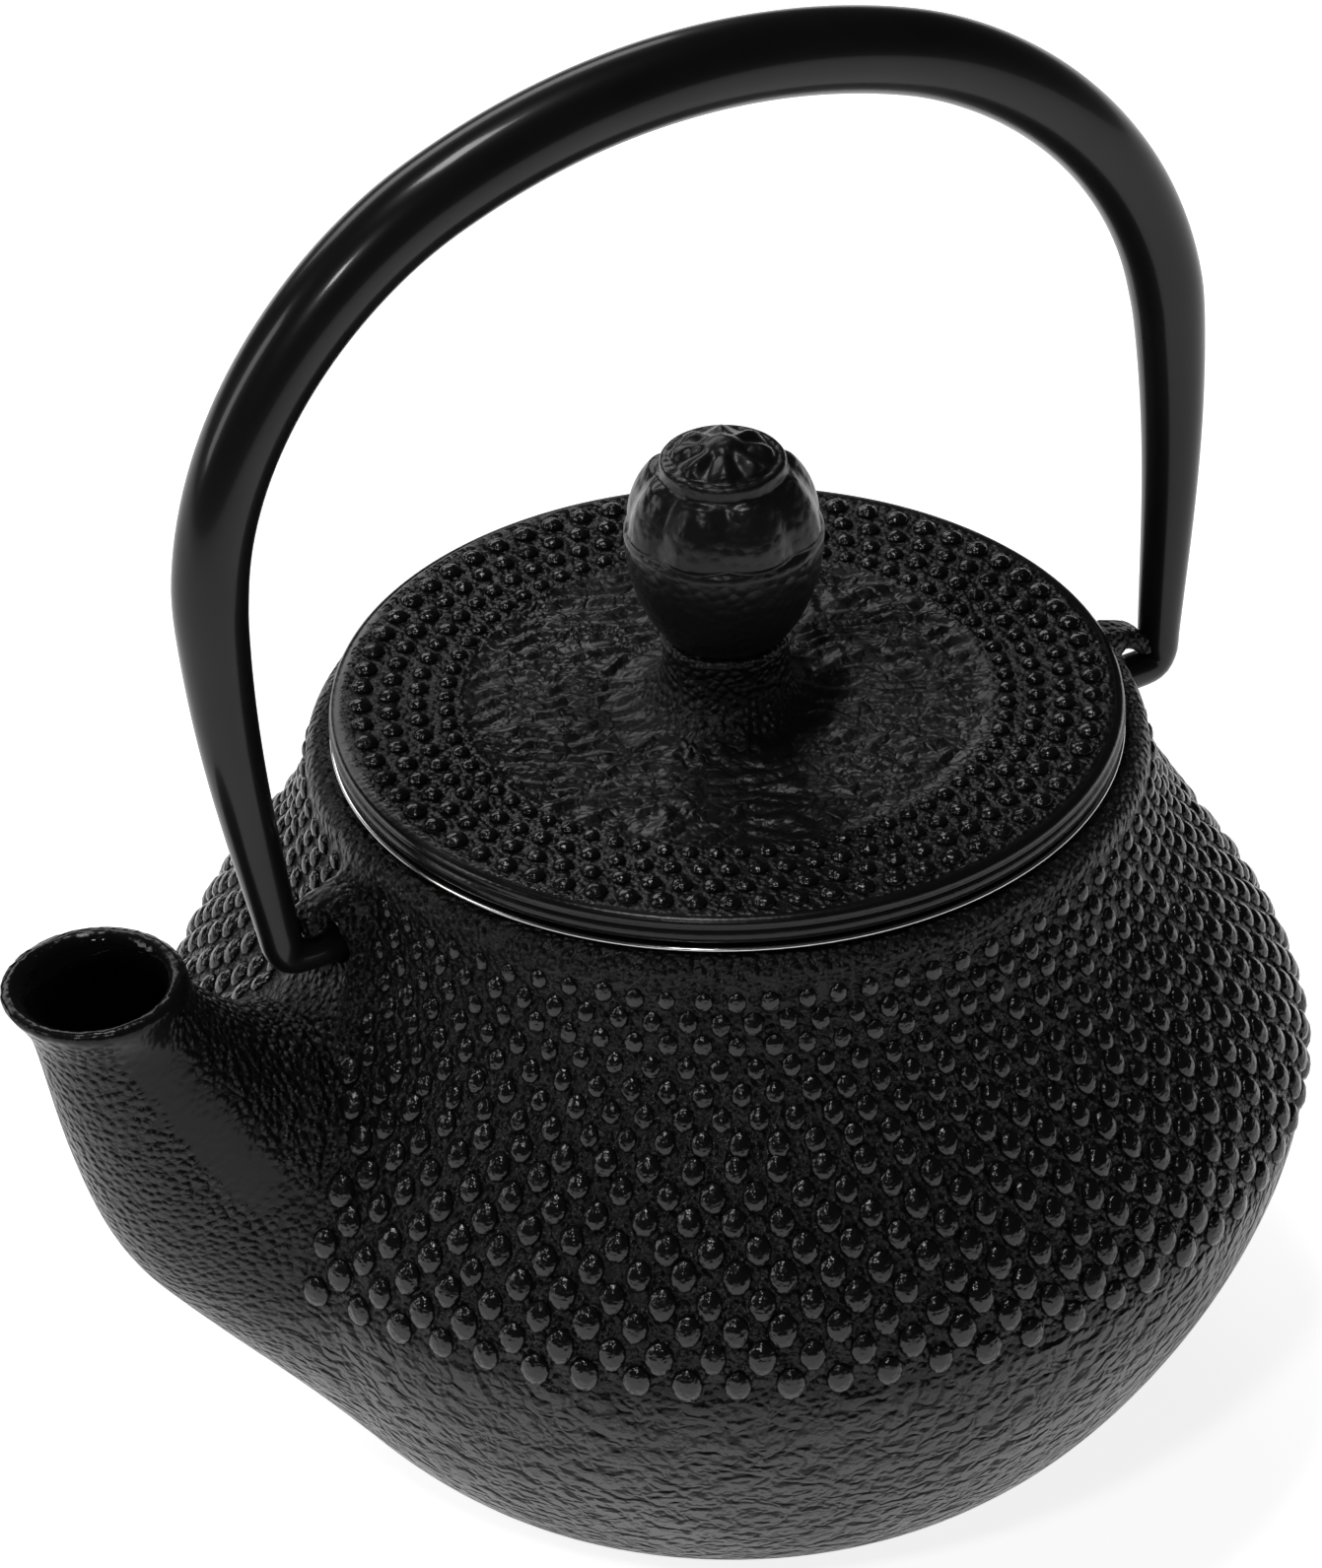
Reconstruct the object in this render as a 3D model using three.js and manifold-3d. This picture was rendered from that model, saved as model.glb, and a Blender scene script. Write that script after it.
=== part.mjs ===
// A cast iron teapot: a pot cast in one piece with its spout and its two ears, a bail
// handle hooked into the ears, a lid with a knob screwed on, and a steel infuser basket
// that hangs in the neck. Millimetres, +Z up. The origin is the middle of the flat base,
// the spout points along -X and the ears stand on the X axis.
import * as THREE from "three";
import { mergeVertices } from "three/addons/utils/BufferGeometryUtils.js";
import Module from "manifold-3d";

const wasm = await Module();
wasm.setup();

// ---- driving dimensions ----

const WALL = 3.2; // the casting's wall
const GAP = 0.3; // between two pieces that lie against each other

const BASE_RADIUS = 42.8; // flat underside
const BELLY_RADIUS = 67.4;
const BELLY_HEIGHT = 43.5;
const SHOULDER_RISE = 36; // belly to shoulder
const NECK_RISE = 8.5; // shoulder to the neck's top face
const NECK_STEP = 1.1; // how far the neck is set in from the shoulder
const NECK_ROUND = 2.2; // rounding of the neck's outer edge
const MOUTH_RADIUS = 39.6; // the opening that the infuser hangs in
const SHOULDER_WIDTH = 10.4; // mouth out to the shoulder
const LEDGE_DEPTH = 3.6; // how thick the inner ledge at the mouth is

const SPOUT_REACH = 16; // belly to the middle of the spout's mouth
const SPOUT_DROP = 5.1; // neck's top face down to the spout's mouth
const SPOUT_LIP_RADIUS = 10.4;
const SPOUT_NECK_RADIUS = 9.7; // just under the flared lip
const SPOUT_ROOT_RADIUS = 17; // in the upright plane through the spout
const SPOUT_ROOT_NARROWING = 0.8; // its width sideways, as a share of that
const SPOUT_TILT = 0.08; // how far the mouth looks outwards, in radians
const SPOUT_WALL = 2.9;
const SPOUT_BURY = 21.4; // how far inside the belly its middle line starts
const SPOUT_START_DROP = 7.5; // belly down to that start
const SPOUT_LEAVE_OUT = 18; // the way it leaves: out and up to its first control point
const SPOUT_LEAVE_UP = 8;
const SPOUT_ARRIVE_IN = 11.9; // the way it arrives: its last control point, in from the mouth
const SPOUT_ARRIVE_DOWN = 25; // and down from it

const PIN_DROP = 2.5; // shoulder down to the handle's pins
const EAR_REACH = 4.3; // shoulder to the outer face of each ear
const EAR_OVERHANG = 1.1;
const EAR_RISE = 5.6; // pins up to the ear's ridge
const EAR_RIDGE_WIDTH = 5.6; // over the ridge; the ear spreads towards its foot
const EAR_SPREAD = 0.14; // share of that width gained for each millimetre down
const EAR_LIP_HEIGHT = 2.2; // the overhanging lip, over the ear's flat face
const EAR_FLAT_DROP = 4.5; // pins down to where the face starts to run out into the belly
const EAR_FOOT_DROP = 14; // pins down to the ear's foot, inside the belly's wall
const EAR_FOOT_REACH = 4; // ear face out to that foot
const PIN_RADIUS = 2.2;
const PIN_CLEARANCE = 0.4;
const PIN_LENGTH = 4.2; // how far each pin reaches into its ear
const PIN_END_GAP = 0.6;

const FINGER_ROOM = 37.8; // knob to the underside of the handle
const HANDLE_SPREAD = 9.1; // ear face out to the middle of the leg at its widest
const HANDLE_TOP_ARC = 88; // radius of the long arc over the lid
const HANDLE_TOP_TURN = 0.36; // half the angle that arc covers
const HANDLE_WAIST_RISE = 44; // pins up to where the legs stand widest
const LEG_SPLAY = 0.6; // how far the elbow already leans outwards
const LEG_FOOT_PULL = 12; // control lengths of the leg's curve, at the foot and at the waist
const LEG_WAIST_PULL = 16;
const WAIST_SHARE = 0.87; // the leg's thickness at the waist, as a share of the top's
const HANDLE_RADIUS = 5.05;
const LEG_END_RADIUS = 2.5;
const ELBOW_RADIUS = 4;
const HANDLE_LEAN = 0.12; // how far the handle stands from upright, in radians

const RIM_MARGIN = 0.7; // flat of the neck's top left outside the lid
const LID_THICKNESS = 3.4;
const LID_EDGE_ROUND = 1.1;
const SKIRT_WALL = 2.4; // the ring under the lid that drops into the infuser
const SKIRT_CLEARANCE = 1.2; // under it, over the mesh's top edge
const BOSS_RADIUS = 7.6; // the collar that the knob stands on
const BOSS_HEIGHT = 9.4; // over the lid's top face
const BOSS_FLARE = 6.4; // how far its foot spreads over the lid
const BOSS_FLARE_HEIGHT = 6.2;
const BOSS_WALL = 4.2;

const KNOB_SEAT_RADIUS = 7.1;
const KNOB_RADIUS = 11.5;
const KNOB_BELLY_RISE = 13.4; // the knob's seat up to its widest ring
const SCREW_RADIUS = 1.9;
const SCREW_CLEARANCE = 0.4;
const SCREW_IN_KNOB = 9;
const SCREW_HEAD_RADIUS = 3.8;
const SCREW_HEAD_HEIGHT = 2.4;
const WASHER_RADIUS = 4.6;
const WASHER_THICKNESS = 0.8;

const SHEET = 0.6; // steel of the infuser's rim and foot ring
const MESH = 0.5; // thickness of the infuser's mesh
const INFUSER_PLAY = 1.6; // between the infuser and the pot's mouth
const COLLAR_DEPTH = 8.9;
const COLLAR_OVERLAP = 3; // how far the mesh reaches up inside the collar
const INFUSER_DEPTH = 44.9; // flange top to the underside of the foot ring
const FOOT_RING_HEIGHT = 4;
const FOOT_RING_LIP = 5.5; // how far the foot ring reaches in under the mesh floor

const ROUND_STEPS = 48; // facets round the pot, the lid and the infuser
const SMALL_STEPS = 24;

// ---- sizes that follow from them ----

const SHOULDER_RADIUS = MOUTH_RADIUS + SHOULDER_WIDTH;
const SHOULDER_HEIGHT = BELLY_HEIGHT + SHOULDER_RISE;
const NECK_HEIGHT = SHOULDER_HEIGHT + NECK_RISE;
const NECK_RADIUS = SHOULDER_RADIUS - NECK_STEP;
const PIVOT_HEIGHT = SHOULDER_HEIGHT - PIN_DROP;
const EAR_FACE = SHOULDER_RADIUS + EAR_REACH;
const EAR_TOP = PIVOT_HEIGHT + EAR_RISE;

const FLANGE_RADIUS = NECK_RADIUS - NECK_ROUND - RIM_MARGIN;
const FLANGE_BOTTOM = NECK_HEIGHT + GAP;
const FLANGE_TOP = FLANGE_BOTTOM + SHEET;
const INFUSER_RADIUS = MOUTH_RADIUS - INFUSER_PLAY;
const COLLAR_INSIDE = INFUSER_RADIUS - SHEET;
const COLLAR_BOTTOM = FLANGE_TOP - COLLAR_DEPTH;
const INFUSER_BOTTOM = FLANGE_TOP - INFUSER_DEPTH;
const MESH_OUTSIDE = COLLAR_INSIDE - GAP;
const FLOOR_BOTTOM = INFUSER_BOTTOM + SHEET + GAP;
const MESH_TOP = COLLAR_BOTTOM + COLLAR_OVERLAP;

const LID_RADIUS = FLANGE_RADIUS;
const LID_BOTTOM = FLANGE_TOP + GAP;
const SKIRT_BOTTOM = MESH_TOP + SKIRT_CLEARANCE;
const LID_TOP = LID_BOTTOM + LID_THICKNESS;
const SKIRT_RADIUS = COLLAR_INSIDE - 2 * GAP;
const BOSS_TOP = LID_TOP + BOSS_HEIGHT;
const RECESS_TOP = BOSS_TOP - BOSS_WALL;
const WASHER_TOP = RECESS_TOP - GAP;
const WASHER_BOTTOM = WASHER_TOP - WASHER_THICKNESS;
const HEAD_TOP = WASHER_BOTTOM - GAP;
const HOLE_RADIUS = SCREW_RADIUS + SCREW_CLEARANCE;
const KNOB_SEAT = BOSS_TOP + GAP;
const KNOB_BELLY = KNOB_SEAT + KNOB_BELLY_RISE;
const KNOB_TOP = KNOB_BELLY + KNOB_RADIUS;

const HANDLE_HALF_WIDTH = EAR_FACE + HANDLE_SPREAD;
const HANDLE_RISE = KNOB_TOP + FINGER_ROOM + HANDLE_RADIUS - PIVOT_HEIGHT;

// ---- making and joining solids ----

function solid(geometry) {
  const bare = geometry.clone();
  bare.deleteAttribute("normal");
  bare.deleteAttribute("uv");
  const merged = mergeVertices(bare, 1e-4);
  return new wasm.Manifold(
    new wasm.Mesh({
      numProp: 3,
      vertProperties: new Float32Array(merged.attributes.position.array),
      triVerts: new Uint32Array(merged.index.array),
    }),
  );
}

function geometryOf(body) {
  const made = body.getMesh();
  const geometry = new THREE.BufferGeometry();
  geometry.setAttribute("position", new THREE.BufferAttribute(new Float32Array(made.vertProperties), 3));
  geometry.setIndex(new THREE.BufferAttribute(new Uint32Array(made.triVerts), 1));
  geometry.computeVertexNormals();
  return geometry;
}

// A profile of [radius, height] points turned round the Z axis.
function turned(points, steps) {
  const profile = points.map(([radius, height]) => new THREE.Vector2(radius, height));
  return new THREE.LatheGeometry(profile, steps).rotateX(Math.PI / 2);
}

// A turned ring: its profile closes on itself, clear of the axis.
function turnedRing(points, steps) {
  return turned([...points, points[0]], steps);
}

// A quarter-round from angle a to angle b (radians from the outward direction) about a centre.
function arcPoints(radius, height, round, a, b, count) {
  return Array.from({ length: count + 1 }, (_, i) => {
    const angle = a + ((b - a) * i) / count;
    return [radius + round * Math.cos(angle), height + round * Math.sin(angle)];
  });
}

function bezierPoints(p0, p1, p2, p3, count) {
  const curve = new THREE.CubicBezierCurve(
    ...[p0, p1, p2, p3].map(([x, y]) => new THREE.Vector2(x, y)),
  );
  return curve.getPoints(count).map((point) => [point.x, point.y]);
}

// A round bar along a path in the XZ plane. radiusAt(share) is its radius at each place
// along the path, widthAt(share) its width along Y as a share of that, and
// facingAt(share) the direction that its section faces.
function bar(
  path,
  steps,
  sides,
  radiusAt,
  widthAt = () => 1,
  facingAt = (share) => path.getTangentAt(share),
) {
  const bent = new THREE.CylinderGeometry(1, 1, 1, sides, steps);
  const place = bent.attributes.position;
  for (let i = 0; i < place.count; i += 1) {
    const share = THREE.MathUtils.clamp(place.getY(i) + 0.5, 0, 1);
    const centre = path.getPointAt(share);
    const along = facingAt(share);
    const radius = radiusAt(share);
    const across = place.getX(i) * radius;
    const sideways = place.getZ(i) * radius * widthAt(share);
    place.setXYZ(i, centre.x + along.y * across, -sideways, centre.y - along.x * across);
  }
  return bent;
}

// ---- the pot ----

// The pot's outside from the edge of the base up to the shoulder, set in by a given
// thickness. Its two curves both stand upright at the belly. Each control point is a share
// of the way across and up its curve, and those shares give the belly its fullness.
function bellyProfile(inset, steps) {
  const lower = bezierPoints(
    [BASE_RADIUS, 0],
    [BASE_RADIUS + 0.43 * (BELLY_RADIUS - BASE_RADIUS), 0.163 * BELLY_HEIGHT],
    [BELLY_RADIUS, 0.71 * BELLY_HEIGHT],
    [BELLY_RADIUS, BELLY_HEIGHT],
    steps,
  );
  const upper = bezierPoints(
    [BELLY_RADIUS, BELLY_HEIGHT],
    [BELLY_RADIUS, BELLY_HEIGHT + 0.32 * SHOULDER_RISE],
    [SHOULDER_RADIUS + 0.15 * (BELLY_RADIUS - SHOULDER_RADIUS), SHOULDER_HEIGHT - 0.3 * SHOULDER_RISE],
    [SHOULDER_RADIUS, SHOULDER_HEIGHT],
    steps,
  );
  const outline = [...lower, ...upper.slice(1)];
  return outline.map(([radius, height], i) => {
    const [r0, z0] = outline[Math.max(i - 1, 0)];
    const [r1, z1] = outline[Math.min(i + 1, outline.length - 1)];
    const length = Math.hypot(r1 - r0, z1 - z0);
    return [radius - (inset * (z1 - z0)) / length, height + (inset * (r1 - r0)) / length];
  });
}

function potOutside() {
  return solid(
    turned(
      [
        [0, 0],
        ...bellyProfile(0, 9),
        [NECK_RADIUS, NECK_HEIGHT - NECK_ROUND],
        ...arcPoints(NECK_RADIUS - NECK_ROUND, NECK_HEIGHT - NECK_ROUND, NECK_ROUND, 0.4, Math.PI / 2, 3),
        [0, NECK_HEIGHT],
      ],
      ROUND_STEPS,
    ),
  );
}

function potInside() {
  const above = NECK_HEIGHT + WALL;
  return solid(
    turned(
      [
        [0, WALL],
        ...bellyProfile(WALL, 7).filter(([radius, height]) => height > WALL && radius > 0),
        [NECK_RADIUS - WALL - 0.6, NECK_HEIGHT - LEDGE_DEPTH - WALL],
        [MOUTH_RADIUS, NECK_HEIGHT - LEDGE_DEPTH],
        [MOUTH_RADIUS, above],
        [0, above],
      ],
      ROUND_STEPS,
    ),
  );
}

// The way the spout's mouth looks.
const MOUTH_FACING = new THREE.Vector2(-Math.sin(SPOUT_TILT), Math.cos(SPOUT_TILT));

// The spout's middle line, from inside the belly to its mouth and a little beyond it.
function spoutPath(beyond) {
  const start = new THREE.Vector2(SPOUT_BURY - BELLY_RADIUS, BELLY_HEIGHT - SPOUT_START_DROP);
  const mouth = new THREE.Vector2(-BELLY_RADIUS - SPOUT_REACH, NECK_HEIGHT - SPOUT_DROP);
  const path = new THREE.CurvePath();
  path.add(
    new THREE.CubicBezierCurve(
      start,
      new THREE.Vector2(start.x - SPOUT_LEAVE_OUT, start.y + SPOUT_LEAVE_UP),
      new THREE.Vector2(mouth.x + SPOUT_ARRIVE_IN, mouth.y - SPOUT_ARRIVE_DOWN),
      mouth,
    ),
  );
  if (beyond > 0) {
    path.add(new THREE.LineCurve(mouth, mouth.clone().addScaledVector(MOUTH_FACING, beyond)));
  }
  return path;
}

// The spout's outer radius: a full root that draws in to a neck, and a flared lip over the
// last part of its length.
function spoutRadius(share) {
  const draw = THREE.MathUtils.smoothstep(share, 0.35, 1);
  const flare = THREE.MathUtils.smoothstep(share, 0.88, 1) ** 2;
  const body = THREE.MathUtils.lerp(SPOUT_ROOT_RADIUS, SPOUT_NECK_RADIUS, draw);
  return body + (SPOUT_LIP_RADIUS - SPOUT_NECK_RADIUS) * flare;
}

function spoutWidth(share) {
  return THREE.MathUtils.lerp(SPOUT_ROOT_NARROWING, 1, THREE.MathUtils.smoothstep(share, 0.3, 0.85));
}

// A round bar that fills the spout, less an inset. Its section follows the middle line
// and turns to the mouth's own facing at the lip.
function spoutBar(inset, beyond, sides) {
  const path = spoutPath(beyond);
  const lip = 1 - beyond / path.getLength();
  const within = (share) => Math.min(share / lip, 1);
  return solid(
    bar(
      path,
      16,
      sides,
      (share) => spoutRadius(within(share)) - inset,
      (share) => spoutWidth(within(share)),
      (share) => {
        const turn = THREE.MathUtils.smoothstep(within(share), 0.55, 1);
        return path.getTangentAt(share).lerp(MOUTH_FACING, turn).normalize();
      },
    ),
  );
}

// One ear, on the +X side: a lug that grows from the shoulder to the neck, with a lip
// that hangs over the handle's pin.
function ear() {
  const lip = EAR_FACE + EAR_OVERHANG;
  const outline = new THREE.Shape();
  const footHeight = PIVOT_HEIGHT - EAR_FOOT_DROP;
  const flatBottom = PIVOT_HEIGHT - EAR_FLAT_DROP;
  const lipBottom = EAR_TOP - EAR_LIP_HEIGHT;
  const ridgeEnd = EAR_TOP + 2 * EAR_OVERHANG;
  outline.moveTo(SHOULDER_RADIUS - WALL, footHeight - EAR_OVERHANG);
  outline.lineTo(EAR_FACE + EAR_FOOT_REACH, footHeight);
  const footMiddle = (footHeight + flatBottom) / 2;
  outline.quadraticCurveTo(EAR_FACE + 0.25 * EAR_FOOT_REACH, footMiddle, EAR_FACE, flatBottom);
  outline.lineTo(EAR_FACE, lipBottom);
  outline.lineTo(lip, lipBottom + 0.4);
  outline.quadraticCurveTo(lip, EAR_TOP, lip - EAR_LIP_HEIGHT, EAR_TOP);
  outline.quadraticCurveTo(NECK_RADIUS + EAR_OVERHANG, EAR_TOP + 0.5, NECK_RADIUS - EAR_OVERHANG, ridgeEnd);
  outline.lineTo(MOUTH_RADIUS + WALL, EAR_TOP + EAR_OVERHANG);
  const lug = new THREE.ExtrudeGeometry(outline, {
    depth: EAR_RIDGE_WIDTH,
    bevelEnabled: false,
    curveSegments: 5,
  });
  lug.translate(0, 0, -EAR_RIDGE_WIDTH / 2).rotateX(Math.PI / 2);
  const place = lug.attributes.position;
  for (let i = 0; i < place.count; i += 1) {
    const below = Math.max(EAR_TOP - place.getZ(i), 0);
    place.setY(i, place.getY(i) * (1 + EAR_SPREAD * below));
  }
  return solid(lug);
}

// The blind hole in an ear that holds the handle's pin.
function pinHole() {
  const bottom = EAR_FACE - PIN_LENGTH - PIN_END_GAP;
  const length = EAR_FACE + EAR_FOOT_REACH - bottom;
  const bore = new THREE.CylinderGeometry(
    PIN_RADIUS + PIN_CLEARANCE,
    PIN_RADIUS + PIN_CLEARANCE,
    length,
    SMALL_STEPS / 2,
  );
  bore.rotateZ(Math.PI / 2).translate(bottom + length / 2, 0, PIVOT_HEIGHT);
  return solid(bore);
}

function potBody() {
  const left = [-1, 1, 1];
  return potOutside()
    .add(spoutBar(0, 0, SMALL_STEPS))
    .add(ear())
    .add(ear().scale(left))
    .subtract(potInside())
    .subtract(spoutBar(SPOUT_WALL, 2 * SPOUT_WALL, SMALL_STEPS))
    .subtract(pinHole())
    .subtract(pinHole().scale(left));
}

// ---- the handle ----

// The handle's middle line in its own upright plane, heights over the pins. Each side is
// a pin, an elbow, a leg that stands out to the waist, a shoulder and half the top arc.
function handlePath() {
  const elbow = EAR_FACE + GAP;
  const legFoot = elbow + ELBOW_RADIUS;
  const arcHalf = HANDLE_TOP_ARC * Math.sin(HANDLE_TOP_TURN);
  const arcDrop = HANDLE_TOP_ARC * (1 - Math.cos(HANDLE_TOP_TURN));
  const shoulderTop = HANDLE_RISE - arcDrop;
  const shoulderRise = shoulderTop - HANDLE_WAIST_RISE;
  const round = 0.5; // how far each end of the shoulder's curve runs straight on
  const reach = (HANDLE_HALF_WIDTH - arcHalf) * round;
  const half = (side) => {
    const at = (x, z) => new THREE.Vector2(side * x, z);
    return [
      new THREE.LineCurve(at(EAR_FACE - PIN_LENGTH, 0), at(elbow, 0)),
      new THREE.QuadraticBezierCurve(at(elbow, 0), at(legFoot, 0), at(legFoot + LEG_SPLAY, ELBOW_RADIUS)),
      new THREE.CubicBezierCurve(
        at(legFoot + LEG_SPLAY, ELBOW_RADIUS),
        at(legFoot + LEG_SPLAY * (1 + LEG_FOOT_PULL / ELBOW_RADIUS), ELBOW_RADIUS + LEG_FOOT_PULL),
        at(HANDLE_HALF_WIDTH, HANDLE_WAIST_RISE - LEG_WAIST_PULL),
        at(HANDLE_HALF_WIDTH, HANDLE_WAIST_RISE),
      ),
      new THREE.CubicBezierCurve(
        at(HANDLE_HALF_WIDTH, HANDLE_WAIST_RISE),
        at(HANDLE_HALF_WIDTH, HANDLE_WAIST_RISE + shoulderRise * round),
        at(arcHalf + reach * Math.cos(HANDLE_TOP_TURN), shoulderTop - reach * Math.sin(HANDLE_TOP_TURN)),
        at(arcHalf, shoulderTop),
      ),
    ];
  };
  const flipped = (curve) => {
    const copy = curve.clone();
    if (copy.isLineCurve) {
      [copy.v1, copy.v2] = [copy.v2, copy.v1];
    } else if (copy.isQuadraticBezierCurve) {
      [copy.v0, copy.v2] = [copy.v2, copy.v0];
    } else {
      [copy.v0, copy.v1, copy.v2, copy.v3] = [copy.v3, copy.v2, copy.v1, copy.v0];
    }
    return copy;
  };
  const path = new THREE.CurvePath();
  half(-1).forEach((curve) => path.add(curve));
  path.add(
    new THREE.EllipseCurve(
      0,
      HANDLE_RISE - HANDLE_TOP_ARC,
      HANDLE_TOP_ARC,
      HANDLE_TOP_ARC,
      Math.PI / 2 + HANDLE_TOP_TURN,
      Math.PI / 2 - HANDLE_TOP_TURN,
      true,
    ),
  );
  half(1)
    .reverse()
    .forEach((curve) => path.add(flipped(curve)));
  return path;
}

// The handle stays full over the top and draws in down its legs to the pins.
function handleRadius(height) {
  if (height < 0.5 * ELBOW_RADIUS) {
    return PIN_RADIUS;
  }
  const leg = THREE.MathUtils.clamp((height - ELBOW_RADIUS) / HANDLE_WAIST_RISE, 0, 1);
  const top = THREE.MathUtils.smoothstep(height, HANDLE_WAIST_RISE, HANDLE_RISE);
  const waist = WAIST_SHARE * HANDLE_RADIUS;
  return THREE.MathUtils.lerp(LEG_END_RADIUS, waist, leg) + (HANDLE_RADIUS - waist) * top;
}

function handleBail() {
  const path = handlePath();
  return solid(bar(path, 72, 14, (share) => handleRadius(path.getPointAt(share).y)));
}

// ---- the lid, its knob and the screw ----

function lidDisc() {
  const corner = LID_RADIUS - LID_EDGE_ROUND;
  const neckOfBoss = LID_TOP + BOSS_FLARE_HEIGHT;
  const skirtInside = SKIRT_RADIUS - SKIRT_WALL;
  const flareFoot = BOSS_RADIUS + BOSS_FLARE;
  return turnedRing(
    [
      [HOLE_RADIUS, RECESS_TOP],
      [WASHER_RADIUS + 2 * GAP, RECESS_TOP],
      [WASHER_RADIUS + 4 * GAP, LID_BOTTOM + LID_THICKNESS],
      [flareFoot - BOSS_WALL, LID_BOTTOM],
      [skirtInside, LID_BOTTOM],
      [skirtInside, SKIRT_BOTTOM],
      [SKIRT_RADIUS, SKIRT_BOTTOM],
      [SKIRT_RADIUS, LID_BOTTOM],
      ...arcPoints(corner, LID_BOTTOM + LID_EDGE_ROUND, LID_EDGE_ROUND, -Math.PI / 2, 0, 2),
      ...arcPoints(corner, LID_TOP - LID_EDGE_ROUND, LID_EDGE_ROUND, 0, Math.PI / 2, 2),
      ...bezierPoints(
        [flareFoot, LID_TOP],
        [BOSS_RADIUS + 2.6, LID_TOP + 0.6],
        [BOSS_RADIUS, LID_TOP + 2.4],
        [BOSS_RADIUS, neckOfBoss],
        5,
      ),
      [BOSS_RADIUS, BOSS_TOP - 0.6],
      [BOSS_RADIUS - 0.6, BOSS_TOP],
      [HOLE_RADIUS, BOSS_TOP],
    ],
    ROUND_STEPS,
  );
}

// A vase-shaped knob with a blind hole for the screw.
function knobTurning() {
  const boreTop = KNOB_SEAT + SCREW_IN_KNOB + 1;
  return turned(
    [
      [0, boreTop],
      [HOLE_RADIUS, boreTop],
      [HOLE_RADIUS, KNOB_SEAT],
      ...bezierPoints(
        [KNOB_SEAT_RADIUS, KNOB_SEAT],
        [KNOB_SEAT_RADIUS + 2.6, KNOB_SEAT + 3],
        [KNOB_RADIUS, KNOB_BELLY - 6],
        [KNOB_RADIUS, KNOB_BELLY],
        5,
      ),
      ...arcPoints(0, KNOB_BELLY, KNOB_RADIUS, 0, Math.PI / 2, 7).slice(1, -1),
      [0, KNOB_TOP],
    ],
    SMALL_STEPS,
  );
}

function washerRing() {
  return turnedRing(
    [
      [HOLE_RADIUS, WASHER_BOTTOM],
      [WASHER_RADIUS, WASHER_BOTTOM],
      [WASHER_RADIUS, WASHER_TOP],
      [HOLE_RADIUS, WASHER_TOP],
    ],
    SMALL_STEPS,
  );
}

// A pan-head screw, head down, with a driver slot across the head.
function knobScrew() {
  const headBottom = HEAD_TOP - SCREW_HEAD_HEIGHT;
  const slotDepth = 1.2;
  const screw = turned(
    [
      [0, headBottom],
      [SCREW_HEAD_RADIUS - 0.8, headBottom],
      [SCREW_HEAD_RADIUS, headBottom + 0.8],
      [SCREW_HEAD_RADIUS, HEAD_TOP],
      [SCREW_RADIUS, HEAD_TOP],
      [SCREW_RADIUS, KNOB_SEAT + SCREW_IN_KNOB - 0.6],
      [SCREW_RADIUS - 0.6, KNOB_SEAT + SCREW_IN_KNOB],
      [0, KNOB_SEAT + SCREW_IN_KNOB],
    ],
    SMALL_STEPS / 2,
  );
  const slot = new THREE.BoxGeometry(3 * SCREW_HEAD_RADIUS, 1, 2 * slotDepth);
  return solid(screw).subtract(solid(slot.translate(0, 0, headBottom)));
}

// ---- the infuser ----

// The rim: a flat flange with a collar turned down at its inner edge.
function infuserRim() {
  return turnedRing(
    [
      [COLLAR_INSIDE, COLLAR_BOTTOM],
      [INFUSER_RADIUS, COLLAR_BOTTOM],
      [INFUSER_RADIUS, FLANGE_BOTTOM - SHEET],
      [INFUSER_RADIUS + SHEET, FLANGE_BOTTOM],
      [FLANGE_RADIUS, FLANGE_BOTTOM],
      [FLANGE_RADIUS, FLANGE_TOP],
      [INFUSER_RADIUS + SHEET, FLANGE_TOP],
      [COLLAR_INSIDE, FLANGE_TOP - 2 * SHEET],
    ],
    ROUND_STEPS,
  );
}

function infuserWall() {
  return turnedRing(
    [
      [MESH_OUTSIDE - MESH, FLOOR_BOTTOM],
      [MESH_OUTSIDE, FLOOR_BOTTOM],
      [MESH_OUTSIDE, MESH_TOP],
      [MESH_OUTSIDE - MESH, MESH_TOP],
    ],
    ROUND_STEPS,
  );
}

// The ring round the foot of the basket, which holds the wall and carries the floor.
function infuserFootRing() {
  const outside = MESH_OUTSIDE + GAP + SHEET;
  return turnedRing(
    [
      [outside - SHEET - FOOT_RING_LIP, INFUSER_BOTTOM],
      [outside - SHEET, INFUSER_BOTTOM],
      [outside, INFUSER_BOTTOM + SHEET],
      [outside, INFUSER_BOTTOM + FOOT_RING_HEIGHT],
      [outside - SHEET, INFUSER_BOTTOM + FOOT_RING_HEIGHT],
      [outside - SHEET, INFUSER_BOTTOM + SHEET],
      [outside - SHEET - FOOT_RING_LIP, INFUSER_BOTTOM + SHEET],
    ],
    ROUND_STEPS,
  );
}

function infuserFloor() {
  const radius = MESH_OUTSIDE - MESH - GAP;
  return turned(
    [
      [0, FLOOR_BOTTOM],
      [radius, FLOOR_BOTTOM],
      [radius, FLOOR_BOTTOM + MESH],
      [0, FLOOR_BOTTOM + MESH],
    ],
    ROUND_STEPS,
  );
}

// ---- finishes ----

function castIron() {
  return new THREE.MeshStandardMaterial({ color: 0x1b1a1b, roughness: 0.5, metalness: 0.35 });
}

function blackEnamelPaint() {
  return new THREE.MeshStandardMaterial({ color: 0x121213, roughness: 0.28, metalness: 0.1 });
}

function stainlessSteel() {
  return new THREE.MeshStandardMaterial({ color: 0xc9cacb, roughness: 0.22, metalness: 1 });
}

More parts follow.
